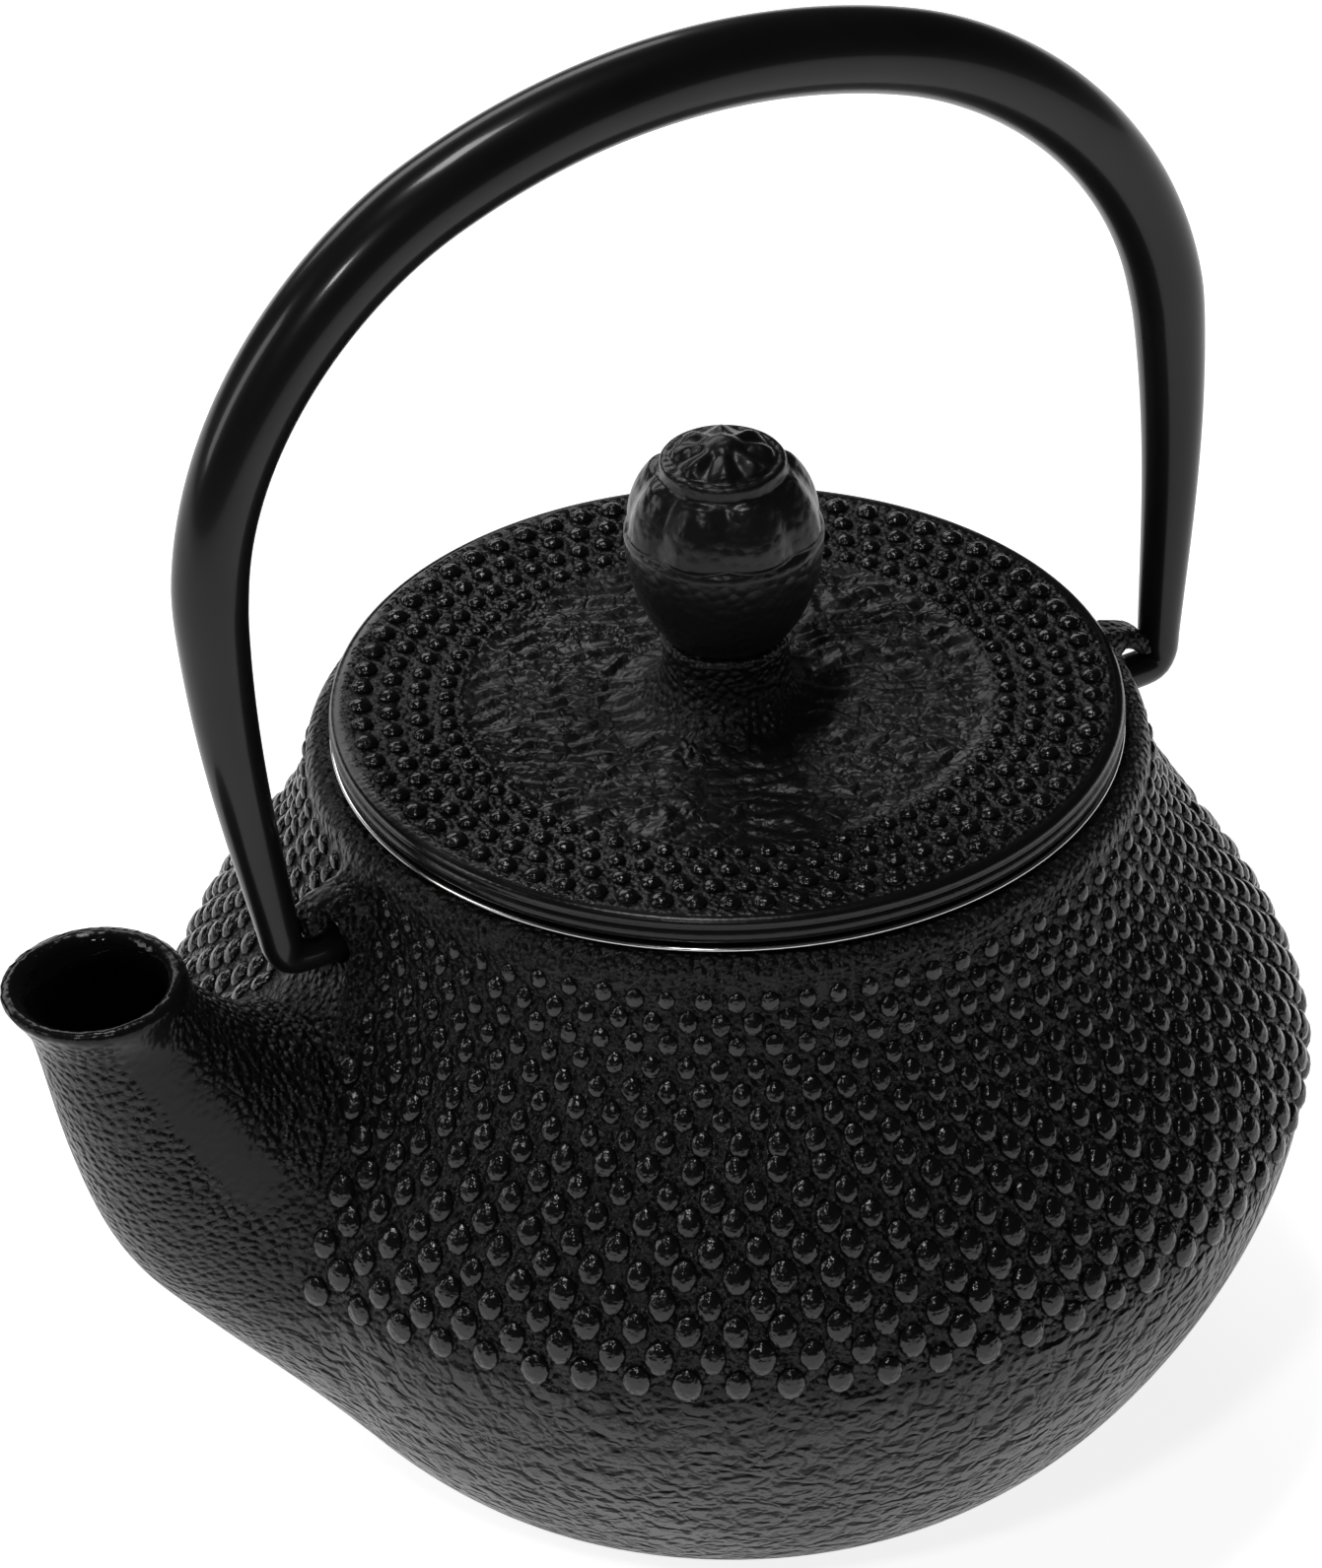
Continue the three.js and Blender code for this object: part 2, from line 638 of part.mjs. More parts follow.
function mesh(name, shape, material) {
  const geometry = shape.isBufferGeometry ? shape : geometryOf(shape);
  const made = new THREE.Mesh(geometry, material);
  made.name = name;
  return made;
}

// ---- the teapot ----

const handleSwing = new THREE.Group();
handleSwing.position.set(0, 0, PIVOT_HEIGHT);
handleSwing.rotation.x = -HANDLE_LEAN;
handleSwing.add(mesh("handle", handleBail(), blackEnamelPaint()));

const lidWithKnob = new THREE.Group();
lidWithKnob.add(
  mesh("lid", lidDisc(), castIron()),
  mesh("knob", knobTurning(), castIron()),
  mesh("knob_screw", knobScrew(), stainlessSteel()),
  mesh("knob_washer", washerRing(), stainlessSteel()),
);

const infuser = new THREE.Group();
infuser.add(
  mesh("infuser_rim", infuserRim(), stainlessSteel()),
  mesh("infuser_wall", infuserWall(), stainlessSteel()),
  mesh("infuser_foot_ring", infuserFootRing(), stainlessSteel()),
  mesh("infuser_floor", infuserFloor(), stainlessSteel()),
);

const teapot = new THREE.Group();
teapot.name = "teapot";
teapot.add(mesh("pot_body", potBody(), castIron()), handleSwing, lidWithKnob, infuser);

export default teapot;
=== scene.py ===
"""Looks of a cast iron teapot: a studded pot with its spout and ears, a black bail handle,
a studded lid with a ball knob, and a perforated steel infuser. Sizes are in millimetres
until plain_mesh() and move_to() turn them into metres."""
import math

import bmesh
import bpy
import numpy as np
from mathutils import Matrix, Vector, noise


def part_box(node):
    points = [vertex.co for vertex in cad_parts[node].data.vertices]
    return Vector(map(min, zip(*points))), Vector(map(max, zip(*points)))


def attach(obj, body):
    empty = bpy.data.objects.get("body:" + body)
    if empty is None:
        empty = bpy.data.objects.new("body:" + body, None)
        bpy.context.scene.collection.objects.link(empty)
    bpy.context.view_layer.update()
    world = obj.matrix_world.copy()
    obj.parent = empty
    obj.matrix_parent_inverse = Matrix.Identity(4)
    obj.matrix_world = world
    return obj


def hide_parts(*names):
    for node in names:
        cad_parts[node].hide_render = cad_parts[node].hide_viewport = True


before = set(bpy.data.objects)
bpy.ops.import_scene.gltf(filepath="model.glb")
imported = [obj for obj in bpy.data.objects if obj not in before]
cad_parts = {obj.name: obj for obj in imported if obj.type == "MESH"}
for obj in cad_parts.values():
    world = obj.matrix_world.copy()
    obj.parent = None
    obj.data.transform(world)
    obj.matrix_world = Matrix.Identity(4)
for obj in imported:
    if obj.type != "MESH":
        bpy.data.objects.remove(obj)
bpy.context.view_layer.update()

MM = 0.001


def measured(node, corner, axis):
    """A CAD node's box, lowest (0) or highest (1) corner along an axis, in millimetres."""
    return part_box(node)[corner]["xyz".index(axis)] / MM


# ---- sizes ----

BELLY_RADIUS = measured("pot_body", 1, "x")
NECK_HEIGHT = measured("pot_body", 1, "z")
BASE_RADIUS = 42.8
BELLY_HEIGHT = 43.5
SHOULDER_RADIUS = 50.0
SHOULDER_HEIGHT = 79.5
NECK_RADIUS = 48.9
NECK_ROUND = 2.2
WALL = 3.2
MOUTH_RADIUS = 39.6
LEDGE_DEPTH = 3.6
MOUTH_EASE = 0.8
MOULD_LINE = 41.3  # height of the line where the studded upper half starts
MOULD_STEP = 0.35  # how far the ground between the studs lies under the lower half

SPOUT_MOUTH = (-83.4, 82.9)  # along X and up
SPOUT_ROOT = (21.4 - BELLY_RADIUS, BELLY_HEIGHT - 7.5)  # inside the belly
SPOUT_SETS_OUT = (-18, 8)  # from the root
SPOUT_COMES_BACK = (11.9, -25)  # from the mouth
SPOUT_DRAW = (0.35, 1)  # shares of its length between which it draws in to its neck
SPOUT_FLARE = (0.86, 1)  # between which it opens to its lip
SPOUT_ROUND = (0.3, 0.85)  # between which its narrow root grows round
SPOUT_TURN = (0.55, 1)  # between which its sections turn to the mouth's tilt
SPOUT_SIDE = -20  # the spout touches nothing at a greater X
SPOUT_LIP_RADIUS = 10.7
SPOUT_NECK_RADIUS = 9.3
SPOUT_ROOT_RADIUS = 17.0
SPOUT_ROOT_NARROWING = 0.8
SPOUT_TILT = 0.08
SPOUT_WALL = 2.9
SPOUT_FILLET = 11.0
LIP_ROUND = 0.8
CHANNEL_EASE = 1.5  # how much wider the channel grows at the mouth

PIVOT_HEIGHT = 77.0
EAR_FACE = 54.3
EAR_TOP = 82.6
EAR_HALF_WIDTH = 1.7
EAR_SPREAD = 0.26  # widening for each millimetre down
EAR_FILLET = 2.4
EAR_ROOM = (40, 14, 56)  # least distance out, most sideways, least height
PIN_RADIUS = 2.2
PIN_CLEARANCE = 0.4
PIN_LENGTH = 4.2

STUD_ROWS = 16
STUDS_LOW = 72  # studs in each of the lower rows, where they are biggest
STUDS_HIGH = 80
HIGH_ROWS = 7
STUD_RISE = 0.56  # how far a stud stands out, as a share of its radius
STUD_LENGTH = 1.22  # its height up the pot, as a share of its width
FIRST_ROW = 2.1  # up the side from the mould line
TOP_ROW_HEIGHT = 83.6
STUD_SHARE = 0.3  # radius, as a share of the pitch
WOBBLE_ROUND = 0.03  # as a share of the pitch
WOBBLE_UP = 0.12
CLEAR_OF_SPOUT = 2.6
CLEAR_OF_EARS = 1.2

HANDLE_LEAN = 0.12
HANDLE_RADIUS = 5.05
HANDLE_HALF_WIDTH = 63.4
HANDLE_RISE = 93.1
HANDLE_TOP_ARC = 88.0
HANDLE_TOP_TURN = 0.36
HANDLE_WAIST_RISE = 44.0
LEG_END_RADIUS = 2.5
WAIST_SHARE = 0.87  # radius at the waist, as a share of that at the top
ELBOW_RADIUS = 4.0

LID_RADIUS = measured("lid", 1, "x")
SKIRT_DEPTH = 5.0
LID_BOTTOM = measured("lid", 0, "z") + SKIRT_DEPTH
LID_THICKNESS = 3.4
LID_TOP = LID_BOTTOM + LID_THICKNESS
SKIRT_RADIUS = 36.8
SKIRT_WALL = 2.4
LID_STUD_RINGS = (42.3, 39.0, 35.7, 32.4)
LID_STUDS = 69
LID_STUD_SHARE = 0.37
LID_RING_STEP = 0.55
WRINKLE_RADIUS = 30.6  # edge of the wrinkled middle of the lid
BOSS_RADIUS = 7.6
BOSS_TOP = measured("lid", 1, "z")
BOSS_FLARE = 6.4
RECESS_RADIUS = 5.2  # hollow under the boss, for the screw's head
RECESS_ROOF = 4.2
HOLE_RADIUS = 2.3

KNOB_RADIUS = measured("knob", 1, "x")
KNOB_SEAT = measured("knob", 0, "z")
KNOB_BELLY = KNOB_SEAT + 13.4
KNOB_SEAT_RADIUS = 7.1
KNOB_HOLE_DEPTH = 10
PETALS = 8
KNOB_TURN = 0.1  # how the lobes are turned round the knob, in radians
# Bands of the knob, in degrees from its top: starts, is full, begins to fade, ends.
PILLOWS = (43, 50, 86, 89)
BELT = (38, 44, 87, 90)
FLOWER = (9, 15, 28, 33)

FLANGE_RADIUS = measured("infuser_rim", 1, "x")
FLANGE_TOP = measured("infuser_rim", 1, "z")
SHEET = 0.6
COLLAR_RADIUS = 38.0
COLLAR_BOTTOM = measured("infuser_rim", 0, "z")
MESH_RADIUS = measured("infuser_wall", 1, "x")
MESH_BOTTOM = measured("infuser_wall", 0, "z")
MESH_TOP = measured("infuser_wall", 1, "z")
MESH_THICKNESS = 0.5
PERFORATION_PITCH = 2.1
PERFORATION_RADIUS = 0.62


# ---- outlines ----


def bezier(p0, p1, p2, p3, count):
    t = np.linspace(0, 1, count + 1)[:, None]
    a, b, c, d = (np.array(p, float) for p in (p0, p1, p2, p3))
    return (1 - t) ** 3 * a + 3 * (1 - t) ** 2 * t * b + 3 * (1 - t) * t**2 * c + t**3 * d


def arc(centre, radius, start, end, count):
    """Points on a circle, angles in degrees."""
    angle = np.radians(np.linspace(start, end, count + 1))
    return np.array(centre) + radius * np.stack([np.cos(angle), np.sin(angle)], 1)


def belly(count):
    """The pot's outline, [radius, height], from the edge of the base to the shoulder."""
    rise = SHOULDER_HEIGHT - BELLY_HEIGHT
    lower = bezier(
        (BASE_RADIUS, 0),
        (BASE_RADIUS + 0.43 * (BELLY_RADIUS - BASE_RADIUS), 0.163 * BELLY_HEIGHT),
        (BELLY_RADIUS, 0.71 * BELLY_HEIGHT),
        (BELLY_RADIUS, BELLY_HEIGHT),
        count,
    )
    upper = bezier(
        (BELLY_RADIUS, BELLY_HEIGHT),
        (BELLY_RADIUS, BELLY_HEIGHT + 0.32 * rise),
        (SHOULDER_RADIUS + 0.15 * (BELLY_RADIUS - SHOULDER_RADIUS), SHOULDER_HEIGHT - 0.3 * rise),
        (SHOULDER_RADIUS, SHOULDER_HEIGHT),
        count,
    )
    return np.concatenate([lower, upper[1:]])


def unit(rows):
    """Each row with its length brought to one."""
    return rows / np.linalg.norm(rows, axis=1)[:, None]


def outward(outline):
    """The unit direction that points out of an outline at each of its points."""
    along = unit(np.gradient(outline, axis=0))
    return np.stack([along[:, 1], -along[:, 0]], 1)


def running_length(line):
    """How far along a line each of its points lies."""
    return np.concatenate([[0], np.cumsum(np.linalg.norm(np.diff(line, axis=0), axis=1))])


def on_circles(radius, angle, height):
    """Points round the Z axis."""
    return np.stack([radius * np.cos(angle), radius * np.sin(angle), np.broadcast_to(height, angle.shape)], 1)


def smoothstep(value, low, high):
    share = np.clip((value - low) / (high - low), 0, 1)
    return share * share * (3 - 2 * share)


def band(value, starts, full, fades, ends):
    return smoothstep(value, starts, full) * smoothstep(-value, -ends, -fades)


def ridge(value, middle, width, power=2):
    return np.exp(-(((value - middle) / width) ** power))


def pot_outline():
    """The whole outside of the pot, with the small step at the mould line."""
    side = belly(60)
    step = MOULD_STEP * smoothstep(side[:, 1], MOULD_LINE, MOULD_LINE + 0.8)
    fade = 1 - smoothstep(side[:, 1], SHOULDER_HEIGHT - 3, SHOULDER_HEIGHT)
    side = side - outward(side) * (step * fade)[:, None]
    top = arc((NECK_RADIUS - NECK_ROUND, NECK_HEIGHT - NECK_ROUND), NECK_ROUND, 0, 90, 8)
    neck = [[NECK_RADIUS + 0.15, SHOULDER_HEIGHT + 2.2]]
    return np.concatenate([[[0, 0]], side, neck, top, [[0, NECK_HEIGHT]]])


# ---- distances: negative inside, positive outside ----


def distance_to_outline(points, outline):
    """Signed distance from 2-D points to a closed outline."""
    best = np.full(len(points), 1e9)
    inside = np.zeros(len(points), bool)
    x, y = points[:, 0], points[:, 1]
    for (ax, ay), (bx, by) in zip(outline, np.roll(outline, -1, axis=0)):
        dx, dy = bx - ax, by - ay
        length2 = dx * dx + dy * dy
        if length2 < 1e-12:
            continue
        share = np.clip(((x - ax) * dx + (y - ay) * dy) / length2, 0, 1)
        best = np.minimum(best, (x - ax - share * dx) ** 2 + (y - ay - share * dy) ** 2)
        crosses = (ay > y) != (by > y)
        inside ^= crosses & (x < ax + dx * (y - ay) / (dy if dy else 1))
    return np.where(inside, -1, 1) * np.sqrt(best)


class DistanceSheet:
    """Distances to a closed 2-D outline, worked out once on a fine grid and read between its points."""

    STEP = 0.3

    def __init__(self, outline, low, high):
        self.low = np.array(low, float)
        self.count = np.ceil((np.array(high) - self.low) / self.STEP).astype(int) + 1
        across = self.low[0] + self.STEP * np.arange(self.count[0])
        up = self.low[1] + self.STEP * np.arange(self.count[1])
        grid = np.stack(np.meshgrid(across, up, indexing="ij"), -1).reshape(-1, 2)
        self.table = distance_to_outline(grid, np.asarray(outline, float)).reshape(self.count)

    def __call__(self, across, up):
        place = (np.stack([across, up], 1) - self.low) / self.STEP
        place = np.clip(place, 0, self.count - 1.001)
        cell = place.astype(int)
        share = place - cell
        i, j = cell[:, 0], cell[:, 1]
        u, v = share[:, 0], share[:, 1]
        t = self.table
        near = t[i, j] * (1 - u) + t[i + 1, j] * u
        far = t[i, j + 1] * (1 - u) + t[i + 1, j + 1] * u
        return near * (1 - v) + far * v


def blend_union(a, b, fillet):
    gap = np.maximum(fillet - np.abs(a - b), 0) / fillet
    return np.minimum(a, b) - gap * gap * fillet / 4


def blend_cut(a, b, fillet):
    """What is left of a once b is taken away."""
    return -blend_union(-a, b, fillet)


BODY_SHEET = DistanceSheet(pot_outline(), (-1, -4), (100, 95))

MOUTH_FACING = np.array([-math.sin(SPOUT_TILT), math.cos(SPOUT_TILT)])


def spout_line(count):
    """The spout's middle line, [along X, height], from inside the belly to its mouth."""
    root, mouth = np.array(SPOUT_ROOT), np.array(SPOUT_MOUTH)
    return bezier(root, root + SPOUT_SETS_OUT, mouth + SPOUT_COMES_BACK, mouth, count)


def spout_radius(share):
    draw = smoothstep(share, *SPOUT_DRAW)
    flare = smoothstep(share, *SPOUT_FLARE) ** 2
    body = SPOUT_ROOT_RADIUS + (SPOUT_NECK_RADIUS - SPOUT_ROOT_RADIUS) * draw
    return body + (SPOUT_LIP_RADIUS - SPOUT_NECK_RADIUS) * flare


def spout_width(share):
    return SPOUT_ROOT_NARROWING + (1 - SPOUT_ROOT_NARROWING) * smoothstep(share, *SPOUT_ROUND)


SPOUT_LINE = spout_line(64)
SPOUT_SHARE = running_length(SPOUT_LINE)
SPOUT_SHARE = SPOUT_SHARE / SPOUT_SHARE[-1]
TURN = smoothstep(SPOUT_SHARE, *SPOUT_TURN)[:, None]
SPOUT_FACING = unit(unit(np.gradient(SPOUT_LINE, axis=0)) * (1 - TURN) + MOUTH_FACING * TURN)


def spout_distance(p):
    """Distance to the spout's outer skin, cut flat at its mouth."""
    flat = p[:, [0, 2]]
    offset = flat @ SPOUT_FACING.T - (SPOUT_LINE * SPOUT_FACING).sum(1)
    ahead = np.clip((offset > 0).sum(1), 1, len(SPOUT_LINE) - 1)
    every = np.arange(len(p))
    before, after = offset[every, ahead - 1], offset[every, ahead]
    place = ahead - 1 + np.clip(before / np.maximum(before - after, 1e-6), 0, 1)
    steps = np.arange(len(SPOUT_LINE))
    share = np.interp(place, steps, SPOUT_SHARE)
    centre = np.stack([np.interp(place, steps, SPOUT_LINE[:, i]) for i in (0, 1)], 1)
    facing = np.stack([np.interp(place, steps, SPOUT_FACING[:, i]) for i in (0, 1)], 1)
    side = (flat[:, 0] - centre[:, 0]) * facing[:, 1] - (flat[:, 1] - centre[:, 1]) * facing[:, 0]
    out = np.hypot(side, p[:, 1] / spout_width(share)) - spout_radius(share)
    beyond = ((flat - np.array(SPOUT_MOUTH)) * MOUTH_FACING).sum(1)
    return blend_cut(out, -beyond, LIP_ROUND)


EAR_OUTLINE = [
    (46.0, 60.0),
    (59.0, 62.5),
    (56.6, 67.0),
    (54.2, 71.0),
    (53.2, 74.0),
    (52.8, 80.6),
    (51.5, 82.4),
    (46.0, 84.4),
]
LUG_SHEET = DistanceSheet(EAR_OUTLINE, (30, 50), (75, 100))
LUG_ROUND = 1.0
LIP_LINE = np.concatenate(
    [
        bezier((46.5, 84.3), (50.0, 83.6), (54.8, 83.4), (56.0, 80.9), 10),
        [[56.1, 80.1]],
    ]
)
LIP_RADIUS = 1.05
LIP_HALF_WIDTH = 1.5
LIP_FILLET = 1.6
POCKET_RADIUS = 3.6  # the hollow that the bail's foot turns in
POCKET_DROP = 0.4
POCKET_BACK = 51.2
POCKET_ROUND = 1.2


def ear_distance(p):
    """Distance to the nearer ear: a lug that spreads towards its foot, under a lip that curls
    over the pin."""
    out = np.abs(p[:, 0])
    lug = LUG_SHEET(out, p[:, 2]) + LUG_ROUND
    half = EAR_HALF_WIDTH + EAR_SPREAD * np.maximum(EAR_TOP - p[:, 2], 0) + LUG_ROUND
    sideways = np.abs(p[:, 1]) - half + LUG_ROUND
    outer = np.hypot(np.maximum(lug, 0), np.maximum(sideways, 0))
    lug = outer + np.minimum(np.maximum(lug, sideways), 0) - LUG_ROUND
    place = np.stack([out, p[:, 2]], 1)
    lip = np.full(len(p), 1e9)
    for a, b in zip(LIP_LINE[:-1], LIP_LINE[1:]):
        d = b - a
        share = np.clip(((place - a) @ d) / (d @ d), 0, 1)[:, None]
        off = place - a - share * d
        across = np.maximum(np.abs(p[:, 1]) - LIP_HALF_WIDTH, 0)
        lip = np.minimum(lip, np.sqrt((off**2).sum(1) + across**2))
    whole = blend_union(lug, lip - LIP_RADIUS, LIP_FILLET)
    pocket = np.hypot(p[:, 1], p[:, 2] - PIVOT_HEIGHT + POCKET_DROP) - POCKET_RADIUS
    pocket = np.maximum(pocket, POCKET_BACK - out)
    return blend_cut(whole, pocket, POCKET_ROUND)


def pot_distance(p):
    """Distance to the outside of the whole casting."""
    made = BODY_SHEET(np.hypot(p[:, 0], p[:, 1]), p[:, 2])
    by_spout = p[:, 0] < SPOUT_SIDE
    if by_spout.any():
        made[by_spout] = blend_union(made[by_spout], spout_distance(p[by_spout]), SPOUT_FILLET)
    out, sideways, height = EAR_ROOM
    by_ear = (np.abs(p[:, 0]) > out) & (np.abs(p[:, 1]) < sideways) & (p[:, 2] > height)
    if by_ear.any():
        made[by_ear] = blend_union(made[by_ear], ear_distance(p[by_ear]), EAR_FILLET)
    return made


def gradient(field, p, step=0.12):
    found = np.empty_like(p)
    for axis in range(3):
        nudge = np.zeros(3)
        nudge[axis] = step
        found[:, axis] = (field(p + nudge) - field(p - nudge)) / (2 * step)
    return found


def settle(field, p, rounds=4, most=0.8):
    """Moves points onto the surface where the field is zero, a limited way at a time."""
    for _ in range(rounds):
        slope = gradient(field, p)
        size = np.maximum((slope**2).sum(1), 0.2)
        move = np.clip(field(p) / size, -most, most)
        p = p - slope * move[:, None]
    return p


# ---- meshes ----


def linked(name, data):
    """A new object in the scene."""
    made = bpy.data.objects.new(name, data)
    bpy.context.scene.collection.objects.link(made)
    return made


def plain_mesh(name, vertices, faces=()):
    """A new object from points in millimetres."""
    data = bpy.data.meshes.new(name)
    data.from_pydata([tuple(v) for v in np.asarray(vertices, float) * MM], [], [tuple(f) for f in faces])
    return linked(name, data)


def mesh_from(name, vertices, faces):
    """The same, with its mesh put in order and smooth all over."""
    made = plain_mesh(name, vertices, faces)
    made.data.validate()
    tidy_mesh(made)
    return made


def tidy_mesh(piece):
    """Merges doubled points, points every face outwards and shades it smooth."""
    work = bmesh.new()
    work.from_mesh(piece.data)
    bmesh.ops.remove_doubles(work, verts=work.verts, dist=1e-6)
    bmesh.ops.dissolve_degenerate(work, edges=work.edges, dist=1e-7)
    bmesh.ops.recalc_face_normals(work, faces=work.faces)
    work.to_mesh(piece.data)
    work.free()
    piece.data.polygons.foreach_set("use_smooth", [True] * len(piece.data.polygons))
    piece.data.update()


def turned(name, outline, steps, displaced=None):
    """An outline of [radius, height] points turned round the Z axis. It starts and ends on
    the axis, or closes on itself. displaced(points) may move the points of the skin."""
    outline = np.asarray(outline, float)
    closed = outline[0][0] > 1e-6
    angle = 2 * math.pi * np.arange(steps) / steps
    ring = np.stack([np.cos(angle), np.sin(angle)], 1)
    points = np.empty((len(outline), steps, 3))
    points[:, :, :2] = outline[:, None, :1] * ring[None]
    points[:, :, 2] = outline[:, None, 1]
    if displaced:
        points = displaced(points.reshape(-1, 3)).reshape(points.shape)
    rows = len(outline)
    faces = []
    for i in range(rows if closed else rows - 1):
        j = (i + 1) % rows
        for k in range(steps):
            n = (k + 1) % steps
            faces.append((i * steps + k, i * steps + n, j * steps + n, j * steps + k))
    return mesh_from(name, points.reshape(-1, 3), faces)


def swept(name, line, radius, sides, facing=None, width=None):
    """A closed bar along a line in the XZ plane. facing is the way each section faces, by
    default along the line, and width its size along Y as a share of its radius."""
    line = np.asarray(line, float)
    if facing is None:
        facing = unit(np.gradient(line, axis=0))
    width = np.ones(len(line)) if width is None else width
    angle = 2 * math.pi * np.arange(sides) / sides
    across = np.cos(angle)[None] * radius[:, None]
    sideways = np.sin(angle)[None] * (radius * width)[:, None]
    points = np.stack(
        [
            line[:, None, 0] + facing[:, None, 1] * across,
            sideways,
            line[:, None, 1] - facing[:, None, 0] * across,
        ],
        -1,
    )
    faces = []
    for i in range(len(line) - 1):
        for k in range(sides):
            n = (k + 1) % sides
            faces.append((i * sides + k, i * sides + n, (i + 1) * sides + n, (i + 1) * sides + k))
    faces.append(tuple(range(sides)))
    last = (len(line) - 1) * sides
    faces.append(tuple(range(last + sides - 1, last - 1, -1)))
    return mesh_from(name, points.reshape(-1, 3), faces)


def finished(piece):
    """Turns an object's modifiers into plain mesh."""
    shown = piece.evaluated_get(bpy.context.evaluated_depsgraph_get())
    made = bpy.data.meshes.new_from_object(shown)
    piece.modifiers.clear()
    piece.data = made
    return piece


def cut_away(piece, cutter):
    step = piece.modifiers.new("cut", "BOOLEAN")
    step.operation = "DIFFERENCE"
    step.solver = "MANIFOLD"
    step.object = cutter
    finished(piece)
    bpy.data.objects.remove(cutter)


def joined(pieces):
    """Several objects as one, with every island kept."""
    work = bmesh.new()
    for piece in pieces:
        work.from_mesh(piece.data)
    work.to_mesh(pieces[0].data)
    work.free()
    for piece in pieces[1:]:
        bpy.data.objects.remove(piece)
    return pieces[0]


def coordinates(piece):
    found = np.empty(len(piece.data.vertices) * 3)
    piece.data.vertices.foreach_get("co", found)
    return found.reshape(-1, 3) / MM


def move_to(piece, points):
    piece.data.vertices.foreach_set("co", (points * MM).ravel())
    piece.data.update()


def paint(piece, name, values):
    """Stores a share from 0 to 1 at each point, for the material to read."""
    attribute = piece.data.attributes.new(name, "FLOAT", "POINT")
    attribute.data.foreach_set("value", np.asarray(values, np.float32))


# ---- what the materials share ----


class Nodes:
    """Short calls to add and wire the nodes of one tree."""

    def __init__(self, tree):
        self.tree = tree

    def add(self, kind, inputs=(), **settings):
        made = self.tree.nodes.new(kind)
        for name, value in settings.items():
            setattr(made, name, value)
        for key, value in dict(inputs).items():
            self.feed(value, made.inputs[key])
        return made

    def feed(self, value, socket):
        if isinstance(value, bpy.types.NodeSocket):
            self.tree.links.new(value, socket)
        else:
            socket.default_value = value

    def made(self, kind, inputs=(), **settings):
        """The first output of a new node."""
        return self.add(kind, inputs, **settings).outputs[0]

    def math(self, operation, a, b=0.0, c=0.0):
        return self.made("ShaderNodeMath", {0: a, 1: b, 2: c}, operation=operation)

    def vector(self, operation, inputs):
        return self.made("ShaderNodeVectorMath", inputs, operation=operation)

    def ranged(self, value, low, high, to_low=0.0, to_high=1.0):
        return self.made("ShaderNodeMapRange", {0: value, 1: low, 2: high, 3: to_low, 4: to_high})

    def mixed(self, share, a, b):
        made = self.add("ShaderNodeMix", {"Factor": share}, data_type="RGBA")
        self.feed(a, made.inputs[6])
        self.feed(b, made.inputs[7])
        return made.outputs[2]

    def place(self):
        return self.add("ShaderNodeTexCoord").outputs["Object"]

    def noise(self, place, scale, detail=3.0, roughness=0.55):
        look = {"Vector": place, "Scale": scale, "Detail": detail, "Roughness": roughness}
        return self.add("ShaderNodeTexNoise", look).outputs["Fac"]


def effect_group(name, inputs, outputs):
    """An empty shader node group with named inputs (name, default) and outputs (name, kind)."""
    tree = bpy.data.node_groups.new(name, "ShaderNodeTree")
    for label, default in inputs:
        kind = "NodeSocketColor" if isinstance(default, tuple) else "NodeSocketFloat"
        tree.interface.new_socket(label, in_out="INPUT", socket_type=kind).default_value = default
    for label, kind in outputs:
        tree.interface.new_socket(label, in_out="OUTPUT", socket_type=kind)
    nodes = Nodes(tree)
    start = nodes.add("NodeGroupInput").outputs
    end = nodes.add("NodeGroupOutput").inputs
    return nodes, start, end


def sand_grain_group():
    """The pebbled skin that a sand mould leaves: small rounded grains with finer grit on them."""
    nodes, given, out = effect_group(
        "sand_grain",
        [("Grains per metre", 900.0), ("Grit share", 0.35)],
        [("Height", "NodeSocketFloat"), ("Pits", "NodeSocketFloat")],
    )
    place = nodes.place()
    grains = nodes.add(
        "ShaderNodeTexVoronoi",
        {"Vector": place, "Scale": given["Grains per metre"], "Smoothness": 0.25, "Randomness": 1.0},
        feature="SMOOTH_F1",
    ).outputs["Distance"]
    rounded = nodes.ranged(grains, 0.1, 0.7, 1.0, 0.0)
    finer = nodes.math("MULTIPLY", given["Grains per metre"], 2.3)
    grit = nodes.noise(place, finer, detail=2.0)
    height = nodes.math("MULTIPLY_ADD", grit, given["Grit share"], rounded)
    nodes.feed(height, out["Height"])
    nodes.feed(nodes.ranged(rounded, 0.0, 0.35, 1.0, 0.0), out["Pits"])
    return nodes.tree


